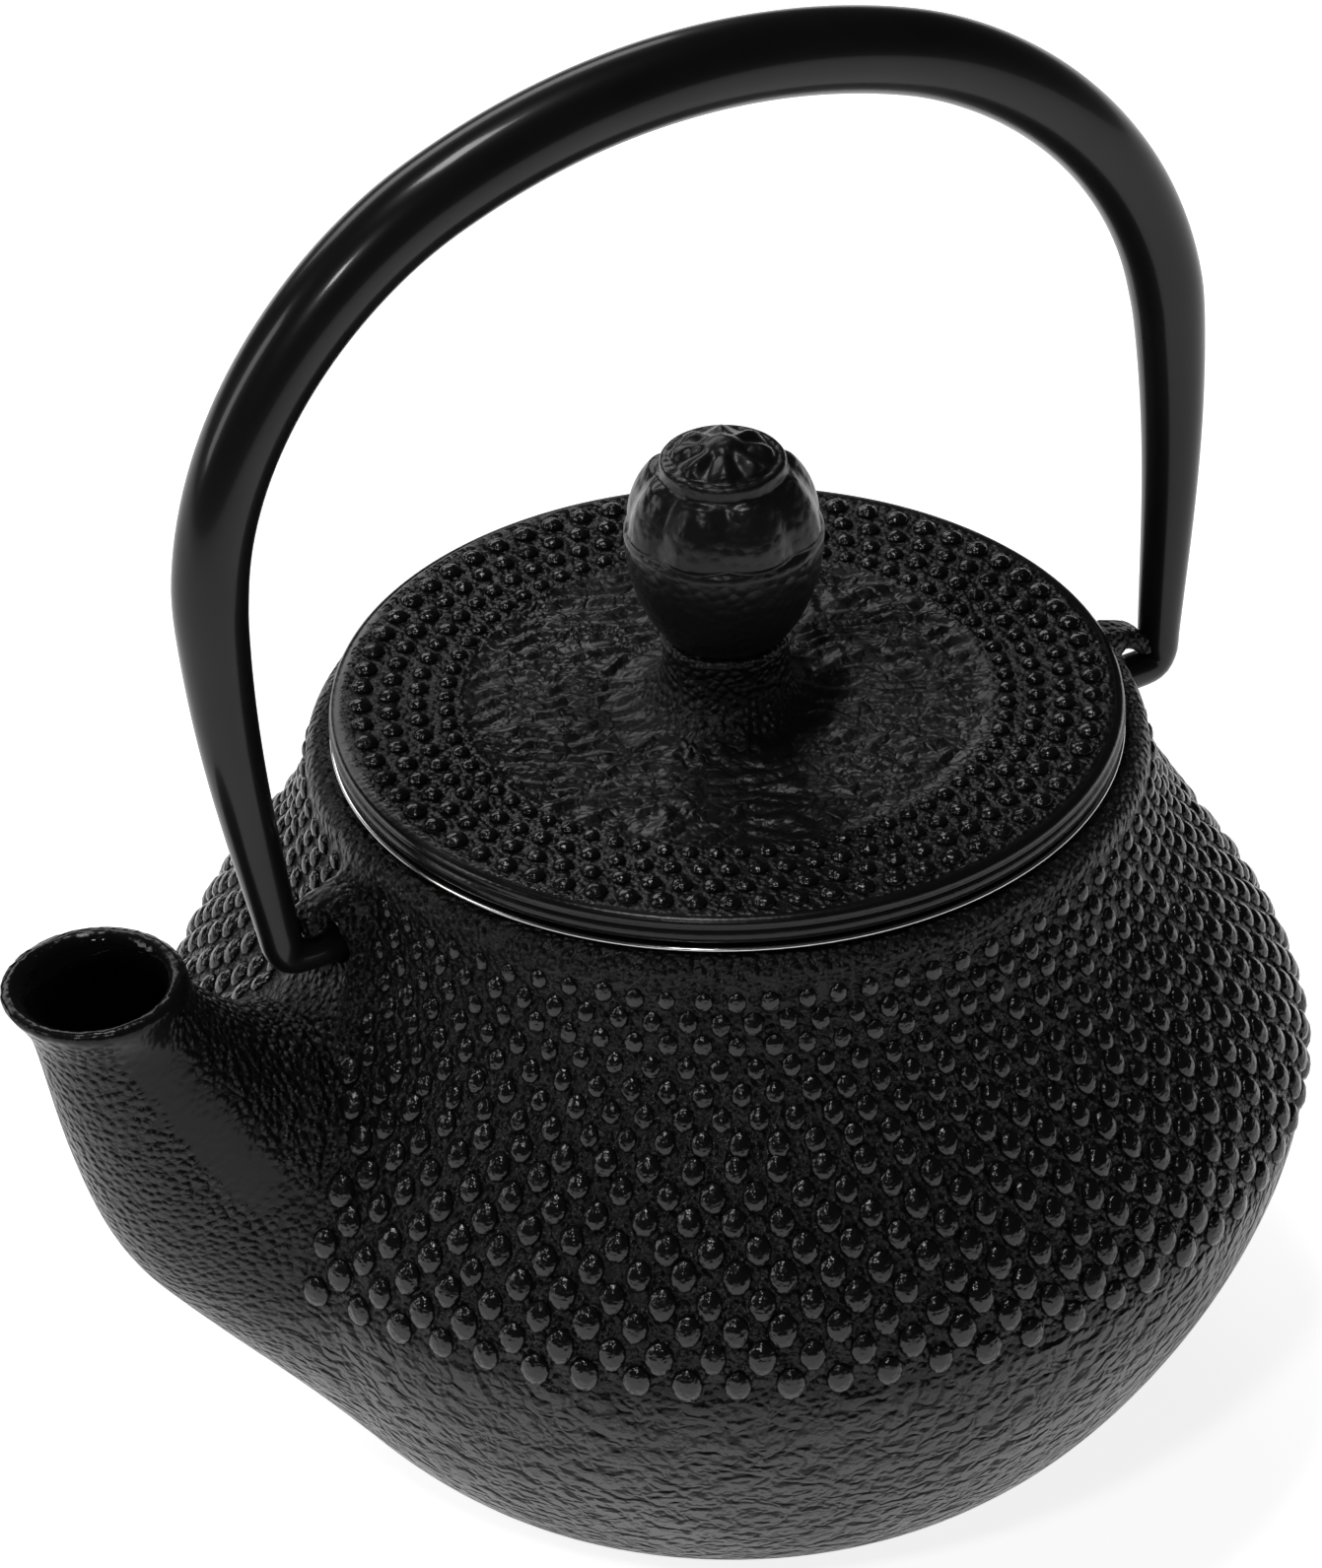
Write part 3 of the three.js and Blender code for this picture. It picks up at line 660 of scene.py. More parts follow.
def leather_group():
    """The crinkled, leathery skin of the plain parts: soft folds that run into each other, and a share that
    marks their valleys for painted shade.
    """
    nodes, given, out = effect_group(
        "leather_folds",
        [("Folds per metre", 260.0), ("Fine share", 0.3)],
        [("Height", "NodeSocketFloat"), ("Valleys", "NodeSocketFloat")],
    )
    place = nodes.place()
    warping = {"Vector": place, "Scale": given["Folds per metre"], "Detail": 2.0}
    warp = nodes.add("ShaderNodeTexNoise", warping)
    shift = nodes.vector("SCALE", {0: warp.outputs["Color"], "Scale": 0.0035})
    moved = nodes.vector("ADD", {0: place, 1: shift})
    wave = nodes.noise(moved, given["Folds per metre"], detail=2.0, roughness=0.5)
    centred = nodes.math("ABSOLUTE", nodes.math("SUBTRACT", wave, 0.5))
    folds = nodes.ranged(centred, 0.0, 0.16, 0.0, 1.0)
    finer = nodes.math("MULTIPLY", given["Folds per metre"], 4.2)
    fine = nodes.noise(place, finer, detail=3.0)
    height = nodes.math("MULTIPLY_ADD", fine, given["Fine share"], folds)
    nodes.feed(height, out["Height"])
    # Valley shade: 1 in the valleys of the folds, for painting shade into the colour there.
    nodes.feed(nodes.ranged(folds, 0.0, 0.4, 1.0, 0.0), out["Valleys"])
    return nodes.tree


def handling_group():
    """Slow changes over a surface: where hands and cloths leave it a little duller or shinier."""
    nodes, given, out = effect_group(
        "handling",
        [("Patches per metre", 35.0), ("Dull", 0.5), ("Bright", 0.4)],
        [("Roughness", "NodeSocketFloat"), ("Patch", "NodeSocketFloat")],
    )
    place = nodes.place()
    patch = nodes.ranged(nodes.noise(place, given["Patches per metre"], detail=4.0), 0.35, 0.65)
    spread = nodes.math("SUBTRACT", given["Bright"], given["Dull"])
    nodes.feed(nodes.math("MULTIPLY_ADD", patch, spread, given["Dull"]), out["Roughness"])
    nodes.feed(patch, out["Patch"])
    return nodes.tree


GRAIN = sand_grain_group()
LEATHER = leather_group()
HANDLING = handling_group()


def new_material(name, **sockets):
    """A Principled material with its even values set, and the helper to wire the rest."""
    made = bpy.data.materials.new(name)
    made.use_nodes = True
    nodes = Nodes(made.node_tree)
    shader = made.node_tree.nodes["Principled BSDF"]
    for label, value in sockets.items():
        shader.inputs[label.replace("_", " ")].default_value = value
    return made, nodes, shader.inputs


def effect(nodes, group, **values):
    made = nodes.add("ShaderNodeGroup", node_tree=group)
    for label, value in values.items():
        nodes.feed(value, made.inputs[label.replace("_", " ")])
    return made.outputs


def raised(nodes, height, distance, strength=1.0):
    """A bump whose height is in millimetres."""
    return nodes.add(
        "ShaderNodeBump", {"Height": height, "Distance": distance * MM, "Strength": strength}
    ).outputs["Normal"]


def painted(nodes, name):
    return nodes.add("ShaderNodeAttribute", attribute_name=name).outputs["Fac"]


def grey(value, warmth=0.0):
    return (value * (1 + warmth), value, value * (1 - warmth), 1.0)


def lacquer(name, specular, grains, grit, patches, dull, bright):
    """Black lacquer: its material, helper, sockets, sand grain and signs of handling."""
    made, nodes, sockets = new_material(name, Specular_IOR_Level=specular)
    grain = effect(nodes, GRAIN, Grains_per_metre=grains, Grit_share=grit)
    wear = effect(nodes, HANDLING, Patches_per_metre=patches, Dull=dull, Bright=bright)
    return made, nodes, sockets, grain["Height"], wear


def grained(name, bump, colours, *look):
    """Lacquer that is alike all over, with its two colours in patches."""
    made, nodes, sockets, grain, wear = lacquer(name, *look)
    nodes.feed(raised(nodes, grain, bump), sockets["Normal"])
    nodes.feed(nodes.mixed(wear["Patch"], *colours), sockets["Base Color"])
    nodes.feed(wear["Roughness"], sockets["Roughness"])
    return made


def part_folded(nodes, grain, leathery, rise, per_metre, fine):
    """Height and colour of a skin that is folded where it is leathery, and grainy elsewhere. The colour is
    darker in the valleys of the folds: painted shade.
    """
    folds = effect(nodes, LEATHER, Folds_per_metre=per_metre, Fine_share=fine)
    grainy = nodes.math("MULTIPLY", grain, nodes.math("SUBTRACT", 1.0, leathery))
    folded = nodes.math("MULTIPLY", folds["Height"], rise)
    # Painted shade: the colour is darker in the valleys of the folds.
    valley_shade = nodes.math("MULTIPLY", folds["Valleys"], leathery)
    colour = nodes.mixed(valley_shade, grey(0.005, 0.03), grey(0.003, 0.03))
    return nodes.math("MULTIPLY_ADD", folded, leathery, grainy), colour


def casting_material():
    """Black-lacquered cast iron: leathery below the mould line, grainy between the studs and
    on the spout, smooth along the spout's side, and glassy enamel inside."""
    made, nodes, sockets, grain, wear = lacquer("lacquered cast iron", 0.2, 950.0, 0.4, 40.0, 0.38, 0.25)
    leathery, smooth, enamel = (painted(nodes, name) for name in ("leathery", "smooth", "enamel"))
    skin, shaded_colour = part_folded(nodes, grain, leathery, 1.7, 240.0, 0.35)
    covered = nodes.math("MAXIMUM", nodes.math("MULTIPLY", smooth, 0.93), enamel)
    height = nodes.math("MULTIPLY", skin, nodes.math("SUBTRACT", 1.0, covered))
    nodes.feed(raised(nodes, height, 0.6), sockets["Normal"])
    # Painted shade in the valleys of the leathery folds, with lighter patches where the lacquer is worn.
    worn_and_shaded = nodes.mixed(nodes.math("MULTIPLY", wear["Patch"], 0.5), shaded_colour, grey(0.007, 0.04))
    nodes.feed(nodes.mixed(enamel, worn_and_shaded, grey(0.003)), sockets["Base Color"])
    dull = nodes.math("MULTIPLY_ADD", smooth, -0.08, wear["Roughness"])
    nodes.feed(nodes.math("MULTIPLY_ADD", enamel, -0.3, dull), sockets["Roughness"])
    return made


def lid_material():
    """The lid's lacquer: fine grain at the border and the collar, crinkled in the middle."""
    made, nodes, sockets, grain, wear = lacquer("lacquered lid", 0.28, 1100.0, 0.4, 45.0, 0.42, 0.28)
    leathery, smooth = painted(nodes, "leathery"), painted(nodes, "smooth")
    skin, shaded_colour = part_folded(nodes, grain, leathery, 0.4, 330.0, 0.25)
    bare = nodes.math("MULTIPLY_ADD", smooth, -0.95, 1.0)
    nodes.feed(raised(nodes, nodes.math("MULTIPLY", skin, bare), 0.3), sockets["Normal"])
    # The base colour carries painted shade in the valleys of the wrinkled middle.
    nodes.feed(shaded_colour, sockets["Base Color"])
    nodes.feed(nodes.math("MULTIPLY_ADD", smooth, -0.12, wear["Roughness"]), sockets["Roughness"])
    return made


def handle_material():
    """Baked black paint, smooth, with a slight orange peel and a few pin-holes."""
    made, nodes, sockets = new_material("baked black paint", Specular_IOR_Level=0.14, Coat_Roughness=0.12)
    sockets["Coat Weight"].default_value = 0.3
    place = nodes.place()
    peel = nodes.noise(place, 420.0, detail=2.0)
    cells = nodes.add("ShaderNodeTexVoronoi", {"Vector": place, "Scale": 140.0}).outputs
    holes = nodes.ranged(cells["Distance"], 0.05, 0.11, -1.0, 0.0)
    few = nodes.ranged(nodes.noise(place, 30.0, detail=1.0), 0.6, 0.66)
    pinned = nodes.math("MULTIPLY", holes, few)
    height = nodes.math("MULTIPLY_ADD", pinned, 4.0, nodes.math("MULTIPLY", peel, 0.35))
    nodes.feed(raised(nodes, height, 0.03), sockets["Normal"])
    wear = effect(nodes, HANDLING, Patches_per_metre=60.0, Dull=0.36, Bright=0.27)
    nodes.feed(nodes.mixed(wear["Patch"], grey(0.004), grey(0.007, 0.02)), sockets["Base Color"])
    nodes.feed(wear["Roughness"], sockets["Roughness"])
    return made


def steel_material(name, roughness, lines):
    """Stainless steel with the fine lines that spinning or rolling leaves round the pot's axis."""
    made, nodes, sockets = new_material(name, Metallic=1.0, Anisotropic=0.3)
    place = nodes.place()
    stretched = nodes.vector("MULTIPLY", {0: place, 1: (lines * 0.03, lines * 0.03, lines)})
    streaks = nodes.noise(stretched, 1.0, detail=4.0, roughness=0.7)
    nodes.feed(raised(nodes, streaks, 0.008), sockets["Normal"])
    smear = nodes.noise(place, 70.0, detail=3.0)
    nodes.feed(nodes.mixed(smear, grey(0.62, 0.01), grey(0.74, 0.01)), sockets["Base Color"])
    nodes.feed(nodes.ranged(smear, 0.3, 0.7, roughness, roughness + 0.1), sockets["Roughness"])
    return made


CAST_IRON = casting_material()
STUD_COLOURS = grey(0.003), grey(0.005, 0.05)
STUDS = grained("lacquered studs", 0.06, STUD_COLOURS, 0.42, 1500.0, 0.5, 120.0, 0.25, 0.15)
LID_IRON = lid_material()
KNOB_COLOURS = grey(0.004), grey(0.008, 0.05)
KNOB_IRON = grained("lacquered knob", 0.08, KNOB_COLOURS, 0.28, 700.0, 0.3, 90.0, 0.36, 0.24)
HANDLE_PAINT = handle_material()
RIM_STEEL = steel_material("polished infuser steel", 0.12, 2600.0)
MESH_STEEL = steel_material("perforated infuser steel", 0.3, 1800.0)
SCREW_STEEL = steel_material("plated screw steel", 0.28, 3200.0)


def dress(piece, body, material, slot, *nodes):
    """Gives a piece its finish and its body, and hides the CAD nodes that it stands for."""
    if material:
        piece.data.materials.clear()
        piece.data.materials.append(material)
    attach(piece, body)
    if nodes:
        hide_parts(*nodes)
    return piece


# ---- studs: one Geometry Nodes tree for the pot and the lid ----


def mesh_tree(name, inputs):
    """An empty Geometry Nodes tree with named inputs (name, kind, default)."""
    tree = bpy.data.node_groups.new(name, "GeometryNodeTree")
    for way in ("OUTPUT", "INPUT"):
        tree.interface.new_socket("Geometry", in_out=way, socket_type="NodeSocketGeometry")
    for label, kind, default in inputs:
        socket = tree.interface.new_socket(label, in_out="INPUT", socket_type="NodeSocket" + kind)
        if default is not None:
            socket.default_value = default
    nodes = Nodes(tree)
    return nodes, nodes.add("NodeGroupInput").outputs, nodes.add("NodeGroupOutput").inputs["Geometry"]


def stud_tree():
    """Sets a rounded stud on every point of a mesh. The point's "facing" is the way it stands,
    and its "size" its radius as a share of the tree's own."""
    nodes, given, end = mesh_tree(
        "studs",
        (
            ("Radius", "Float", 1.5 * MM),
            ("Height share", "Float", 0.6),
            ("Length share", "Float", 1.0),
            ("Unevenness", "Float", 0.08),
            ("Seed", "Int", 7),
            ("Finish", "Material", None),
        ),
    )
    ball = nodes.made("GeometryNodeMeshUVSphere", {"Segments": 12, "Rings": 6, "Radius": given["Radius"]})
    shape = {"X": 1.0, "Y": given["Length share"], "Z": given["Height share"]}
    squash = nodes.made("ShaderNodeCombineXYZ", shape)
    stud = nodes.made("GeometryNodeTransform", {"Geometry": ball, "Scale": squash})
    stud = nodes.made("GeometryNodeSetShadeSmooth", {"Geometry": stud})
    facing = nodes.made("GeometryNodeInputNamedAttribute", {"Name": "facing"}, data_type="FLOAT_VECTOR")
    size = nodes.made("GeometryNodeInputNamedAttribute", {"Name": "size"}, data_type="FLOAT")
    align = "FunctionNodeAlignRotationToVector"
    turn = nodes.made(align, {"Vector": facing}, axis="Z")
    upright = nodes.made(align, {"Rotation": turn, "Vector": (0.0, 0.0, 1.0)}, axis="Y", pivot_axis="Z")
    uneven = nodes.add("FunctionNodeRandomValue", data_type="FLOAT")
    nodes.feed(nodes.math("SUBTRACT", 1.0, given["Unevenness"]), uneven.inputs[2])
    nodes.feed(nodes.math("ADD", 1.0, given["Unevenness"]), uneven.inputs[3])
    nodes.feed(given["Seed"], uneven.inputs["Seed"])
    scale = nodes.math("MULTIPLY", size, uneven.outputs[1])
    points = nodes.made("GeometryNodeMeshToPoints", {"Mesh": given["Geometry"]})
    stands = {"Points": points, "Instance": stud, "Rotation": upright, "Scale": scale}
    placed = nodes.made("GeometryNodeInstanceOnPoints", stands)
    plain = nodes.made("GeometryNodeRealizeInstances", {"Geometry": placed})
    nodes.feed(nodes.made("GeometryNodeSetMaterial", {"Geometry": plain, "Material": given["Finish"]}), end)
    return nodes.tree


STUD_TREE = stud_tree()


def studded(name, points, facings, sizes, **values):
    """A mesh of studs, one at each point, sized by the tree's named inputs."""
    piece = plain_mesh(name, points)
    facing = piece.data.attributes.new("facing", "FLOAT_VECTOR", "POINT")
    facing.data.foreach_set("vector", facings.astype(np.float32).ravel())
    paint(piece, "size", sizes)
    run_tree(piece, STUD_TREE, Radius=MM, Finish=STUDS, **values)
    for attribute in ("facing", "size"):
        if attribute in piece.data.attributes:
            piece.data.attributes.remove(piece.data.attributes[attribute])
    return piece


def run_tree(piece, tree, **values):
    """Runs a Geometry Nodes tree on a piece with its named inputs set, and keeps the plain mesh."""
    step = piece.modifiers.new(tree.name, "NODES")
    step.node_group = tree
    for item in tree.interface.items_tree:
        label = item.name.replace(" ", "_")
        if item.item_type == "SOCKET" and item.in_out == "INPUT" and label in values:
            step[item.identifier] = values[label]
    finished(piece)


# ---- the pot ----


def pot_blank():
    """The pot's outer skin without its hollow, evenly meshed and drawn onto its exact shape."""
    whole = turned("pot", pot_outline(), 96)
    spout = swept("spout", SPOUT_LINE, spout_radius(SPOUT_SHARE), 32, SPOUT_FACING, spout_width(SPOUT_SHARE))
    lugs = []
    for side in (-1, 1):
        line = [(side * x, z) for x, z in LIP_LINE]
        lugs.append(swept("lip", line, np.full(len(line), LIP_RADIUS), 10, None, np.full(len(line), 2.4)))
        lug = mesh_from(
            "lug",
            [(side * x, y, z) for y in (-4.5, 4.5) for x, z in EAR_OUTLINE],
            [range(8), range(15, 7, -1)] + [(i, (i + 1) % 8, 8 + (i + 1) % 8, 8 + i) for i in range(8)],
        )
        lugs.append(lug)
    blank = joined([whole, spout, *lugs])
    remesh = blank.modifiers.new("even", "REMESH")
    remesh.mode = "VOXEL"
    remesh.voxel_size = 1.0 * MM
    remesh.use_smooth_shade = True
    finished(blank)
    return blank


def hollow():
    """The inside of the pot, from its floor up through the mouth."""
    side = belly(30)
    inner = side - outward(side) * WALL
    inner = inner[(inner[:, 1] > WALL + 0.4) & (inner[:, 1] < SHOULDER_HEIGHT - 2)]
    ledge = NECK_HEIGHT - LEDGE_DEPTH
    mouth = [(NECK_RADIUS - WALL - 0.6, ledge - WALL), (MOUTH_RADIUS, ledge)]
    eased = MOUTH_RADIUS + MOUTH_EASE
    above = [(MOUTH_RADIUS, NECK_HEIGHT - MOUTH_EASE), (eased, NECK_HEIGHT + 0.1)]
    top = [(eased, NECK_HEIGHT + 4), (0, NECK_HEIGHT + 4)]
    return turned("hollow", np.concatenate([[[0, WALL]], inner, mouth, above, top]), 128)


def spout_channel():
    """The way through the spout, with its edge eased at the mouth."""
    beyond = np.array([0.6, 1.4, 3.0])
    line = np.concatenate([SPOUT_LINE, SPOUT_LINE[-1] + MOUTH_FACING * beyond[:, None]])
    radius = spout_radius(SPOUT_SHARE) - SPOUT_WALL
    radius = radius + CHANNEL_EASE * smoothstep(SPOUT_SHARE, 0.955, 1.0) ** 2
    radius = np.concatenate([radius, radius[-1] + np.array([0.5, 0.9, 0.9])])
    facing = np.concatenate([SPOUT_FACING, [MOUTH_FACING] * 3])
    width = np.concatenate([spout_width(SPOUT_SHARE), [1.0] * 3])
    return swept("channel", line, radius, 48, facing, width)


def pin_hole(side):
    bottom = EAR_FACE - PIN_LENGTH - 0.6
    line = [(side * bottom, PIVOT_HEIGHT), (side * (bottom + 9), PIVOT_HEIGHT)]
    return swept("pin hole", line, np.full(2, PIN_RADIUS + PIN_CLEARANCE), 24)


def make_pot():
    pot = pot_blank()
    points = settle(pot_distance, coordinates(pot))
    points[:, 2] = np.maximum(points[:, 2], 0)
    move_to(pot, points)
    tidy_mesh(pot)
    for cutter in (hollow(), spout_channel(), pin_hole(-1), pin_hole(1)):
        cut_away(pot, cutter)
    tidy_mesh(pot)
    points = coordinates(pot)
    radius = np.hypot(points[:, 0], points[:, 1])
    depth = pot_distance(points)
    to_body = BODY_SHEET(radius, points[:, 2])
    on_spout = np.zeros(len(points))
    near = points[:, 0] < SPOUT_SIDE
    on_spout[near] = smoothstep(to_body[near], 0.3, 3.0)
    along = ((points[:, [0, 2]] - np.array(SPOUT_MOUTH)) * MOUTH_FACING).sum(1)
    flank = np.abs(points[:, 0] - np.interp(points[:, 2], SPOUT_LINE[:, 1], SPOUT_LINE[:, 0]))
    band = smoothstep(-flank, -6.5, -2.5) * smoothstep(np.abs(points[:, 1]), 4.0, 7.0) * on_spout
    lip = smoothstep(along, -3.2, -1.6) * on_spout
    below = smoothstep(-points[:, 2], -MOULD_LINE - 0.2, -MOULD_LINE + 0.3)
    paint(pot, "leathery", below * (1 - 0.6 * on_spout))
    paint(pot, "smooth", np.maximum(lip, band * smoothstep(points[:, 2], 44.0, 60.0)))
    paint(pot, "enamel", smoothstep(-depth, 0.5, 1.2))
    return dress(pot, "pot", CAST_IRON, "cast_iron", "pot_body")


def row_places():
    """Radius and height of each row of studs, spaced wider towards the belly."""
    side = pot_outline()
    side = side[(side[:, 1] > MOULD_LINE) & (side[:, 0] > NECK_RADIUS - 0.1)]
    side = side[side[:, 1] < NECK_HEIGHT - NECK_ROUND + 0.01]
    length = running_length(side)
    last = np.interp(TOP_ROW_HEIGHT, side[:, 1], length)
    share = np.linspace(0, 1, STUD_ROWS)
    along = FIRST_ROW + (last - FIRST_ROW) * (share * 1.1 - 0.1 * share**2)
    return np.stack([np.interp(along, length, side[:, i]) for i in (0, 1)], 1)


def make_pot_studs():
    """Rows of studs over the upper half, left out where the spout and the ears grow."""
    wobble = np.random.default_rng(3)
    points, sizes = [], []
    for row, (radius, height) in enumerate(row_places()):
        count = STUDS_LOW if row < STUD_ROWS - HIGH_ROWS else STUDS_HIGH
        pitch = 2 * math.pi / count
        angle = pitch * (np.arange(count) + 0.5 * (row % 2) + WOBBLE_ROUND * wobble.standard_normal(count))
        points.append(on_circles(radius, angle, height + WOBBLE_UP * wobble.standard_normal(count)))
        sizes.append(np.full(count, STUD_SHARE * pitch * radius))
    points, sizes = np.concatenate(points), np.concatenate(sizes)
    to_spout = np.full(len(points), 99.0)
    near = points[:, 0] < SPOUT_SIDE
    to_spout[near] = spout_distance(points[near])
    clear = (to_spout > CLEAR_OF_SPOUT) & (ear_distance(points) > CLEAR_OF_EARS)
    points, sizes = settle(pot_distance, points[clear]), sizes[clear]
    facing = unit(gradient(pot_distance, points))
    shape = {"Height_share": STUD_RISE, "Length_share": STUD_LENGTH, "Unevenness": 0.07, "Seed": 11}
    studs = studded("pot_studs", points + facing * 0.02, facing, sizes, **shape)
    return dress(studs, "pot", None, "cast_iron")


# ---- the handle ----


def handle_line():
    """The handle's middle line in its own upright plane, from pin to pin, with heights over
    the pins."""
    elbow = EAR_FACE + 0.3
    foot = elbow + ELBOW_RADIUS
    arc_half = HANDLE_TOP_ARC * math.sin(HANDLE_TOP_TURN)
    shoulder = HANDLE_RISE - HANDLE_TOP_ARC * (1 - math.cos(HANDLE_TOP_TURN))
    rise = shoulder - HANDLE_WAIST_RISE
    reach = (HANDLE_HALF_WIDTH - arc_half) * 0.5
    pin = np.array([[EAR_FACE - PIN_LENGTH, 0], [EAR_FACE - PIN_LENGTH + 0.4, 0], [elbow, 0]])
    quarter = bezier((elbow, 0), (foot, 0), (foot, 0), (foot + 0.6, ELBOW_RADIUS), 10)
    leg = bezier(
        (foot + 0.6, ELBOW_RADIUS),
        (foot + 2.4, ELBOW_RADIUS + 12),
        (HANDLE_HALF_WIDTH, HANDLE_WAIST_RISE - 16),
        (HANDLE_HALF_WIDTH, HANDLE_WAIST_RISE),
        26,
    )
    over = bezier(
        (HANDLE_HALF_WIDTH, HANDLE_WAIST_RISE),
        (HANDLE_HALF_WIDTH, HANDLE_WAIST_RISE + rise * 0.5),
        (arc_half + reach * math.cos(HANDLE_TOP_TURN), shoulder - reach * math.sin(HANDLE_TOP_TURN)),
        (arc_half, shoulder),
        40,
    )
    turn = math.degrees(HANDLE_TOP_TURN)
    top = arc((0, HANDLE_RISE - HANDLE_TOP_ARC), HANDLE_TOP_ARC, 90 - turn, 90, 22)
    half = np.concatenate([pin, quarter[1:], leg[1:], over[1:], top[1:]])
    return np.concatenate([half * (-1, 1), half[-2::-1]])


def make_handle():
    line = handle_line()
    leg = np.clip((line[:, 1] - ELBOW_RADIUS) / HANDLE_WAIST_RISE, 0, 1)
    top = smoothstep(line[:, 1], HANDLE_WAIST_RISE, HANDLE_RISE)
    waist = WAIST_SHARE * HANDLE_RADIUS
    radius = LEG_END_RADIUS + (waist - LEG_END_RADIUS) * leg + (HANDLE_RADIUS - waist) * top
    pin = smoothstep(-line[:, 1], -2.5, 0.0)
    radius = radius + (PIN_RADIUS - radius) * pin
    radius[[0, -1]] -= 0.5
    handle = swept("bail_handle", line, radius, 40)
    points = coordinates(handle)
    lean = Matrix.Rotation(-HANDLE_LEAN, 3, "X")
    points = points @ np.array(lean).T + (0, 0, PIVOT_HEIGHT)
    move_to(handle, points)
    return dress(handle, "handle", HANDLE_PAINT, "handle_paint", "handle")


# ---- the lid and its knob ----

LID_CORNER = 1.1  # radius of its lower edge
FOLD_LIE = 0.5  # the way that the lid's folds run, in radians from the X axis
FOLD_PITCH = 2.7
FOLD_HEIGHT = 0.8


def fold_pattern(points):
    """Thin wavy folds that run mostly one way, from 0 in a valley to 1 on a fold."""
    found = np.empty(len(points))
    lie = Matrix.Rotation(FOLD_LIE, 3, "Z")
    for i, p in enumerate(points):
        place = lie @ Vector(p)
        broad = noise.noise(Vector((place.x * 0.1, place.y * 0.16, 3.0)))
        fine = noise.noise(Vector((place.x * 0.3, place.y * 0.22, 9.0)))
        wave = abs(math.sin(math.pi * (place.y / FOLD_PITCH + 1.3 * broad + 0.62 * fine)))
        fading = 0.72 + 0.5 * noise.noise(Vector((place.x * 0.22, place.y * 0.3, 21.0)))
        found[i] = (1 - wave) ** 1.3 * min(fading, 1.0)
    return found


def lid_outline():
    """The lid's outline from its screw hole, along the underside, and back over the top."""
    corner = LID_RADIUS - LID_CORNER
    skirt_inside = SKIRT_RADIUS - SKIRT_WALL
    skirt_bottom = LID_BOTTOM - SKIRT_DEPTH
    recess_top = BOSS_TOP - RECESS_ROOF
    flare_foot = BOSS_RADIUS + BOSS_FLARE
    edge = [
        (LID_RADIUS, LID_TOP - 1.55),
        (corner + 0.86, LID_TOP - 1.4),
        (corner + 0.84, LID_TOP - 1.1),
        (corner + 0.98, LID_TOP - 0.85),
        (corner + 0.9, LID_TOP - 0.4),
        (corner + 0.55, LID_TOP - 0.08),
        (corner - 0.1, LID_TOP + 0.02),
        (corner - 0.8, LID_TOP),
    ]
    rings = np.arange(corner - 1.4, flare_foot, -LID_RING_STEP)
    return np.concatenate(
        [
            [(HOLE_RADIUS, recess_top), (RECESS_RADIUS, recess_top), (RECESS_RADIUS + 0.6, LID_BOTTOM + 3.4)],
            [(flare_foot - 4.2, LID_BOTTOM + 0.4), (flare_foot - 3.6, LID_BOTTOM)],
            [(skirt_inside - 0.5, LID_BOTTOM), (skirt_inside, LID_BOTTOM - 0.5)],
            [(skirt_inside, skirt_bottom + 0.5), (skirt_inside + 0.5, skirt_bottom)],
            [(SKIRT_RADIUS - 0.6, skirt_bottom), (SKIRT_RADIUS, skirt_bottom + 0.6)],
            [(SKIRT_RADIUS, LID_BOTTOM)],
            arc((corner, LID_BOTTOM + LID_CORNER), LID_CORNER, -90, 0, 5),
            edge,
            np.stack([rings, np.full(len(rings), LID_TOP)], 1),
            bezier(
                (flare_foot, LID_TOP),
                (BOSS_RADIUS + 2.2, LID_TOP + 0.5),
                (BOSS_RADIUS - 0.1, LID_TOP + 2.2),
                (BOSS_RADIUS - 0.2, LID_TOP + 5.2),
                12,
            ),
            bezier(
                (BOSS_RADIUS - 0.2, LID_TOP + 5.6),
                (BOSS_RADIUS - 0.5, LID_TOP + 7.2),
                (BOSS_RADIUS + 0.1, BOSS_TOP - 1.2),
                (BOSS_RADIUS, BOSS_TOP - 0.6),
                8,
            ),
            [(BOSS_RADIUS - 0.2, BOSS_TOP - 0.15), (BOSS_RADIUS - 0.6, BOSS_TOP)],
            [(HOLE_RADIUS, BOSS_TOP)],
        ]
    )


def make_lid():
    def wrinkled(points):
        radius = np.hypot(points[:, 0], points[:, 1])
        share = smoothstep(-radius, -WRINKLE_RADIUS - 0.4, -WRINKLE_RADIUS + 1.6)
        share *= smoothstep(radius, BOSS_RADIUS + 0.5, BOSS_RADIUS + 3.5) * (points[:, 2] > LID_TOP - 0.05)
        move = np.zeros(len(points))
        chosen = share > 0
        move[chosen] = FOLD_HEIGHT * (fold_pattern(points[chosen]) - 0.5) * share[chosen]
        points[:, 2] += move
        return points

    lid = turned("lid_casting", lid_outline(), 288, wrinkled)
    points = coordinates(lid)
    radius = np.hypot(points[:, 0], points[:, 1])
    on_top = smoothstep(points[:, 2], LID_TOP - 1.6, LID_TOP - 1.0)
    middle = smoothstep(-radius, -WRINKLE_RADIUS - 0.6, -WRINKLE_RADIUS + 0.6)
    middle *= smoothstep(radius, BOSS_RADIUS + 1, BOSS_RADIUS + 4)
    paint(lid, "leathery", middle * on_top)
    border = smoothstep(radius, LID_RADIUS - 2.0, LID_RADIUS - 1.3)
    paint(lid, "smooth", np.maximum(1 - on_top, border))
    return dress(lid, "lid", LID_IRON, "cast_iron", "lid")


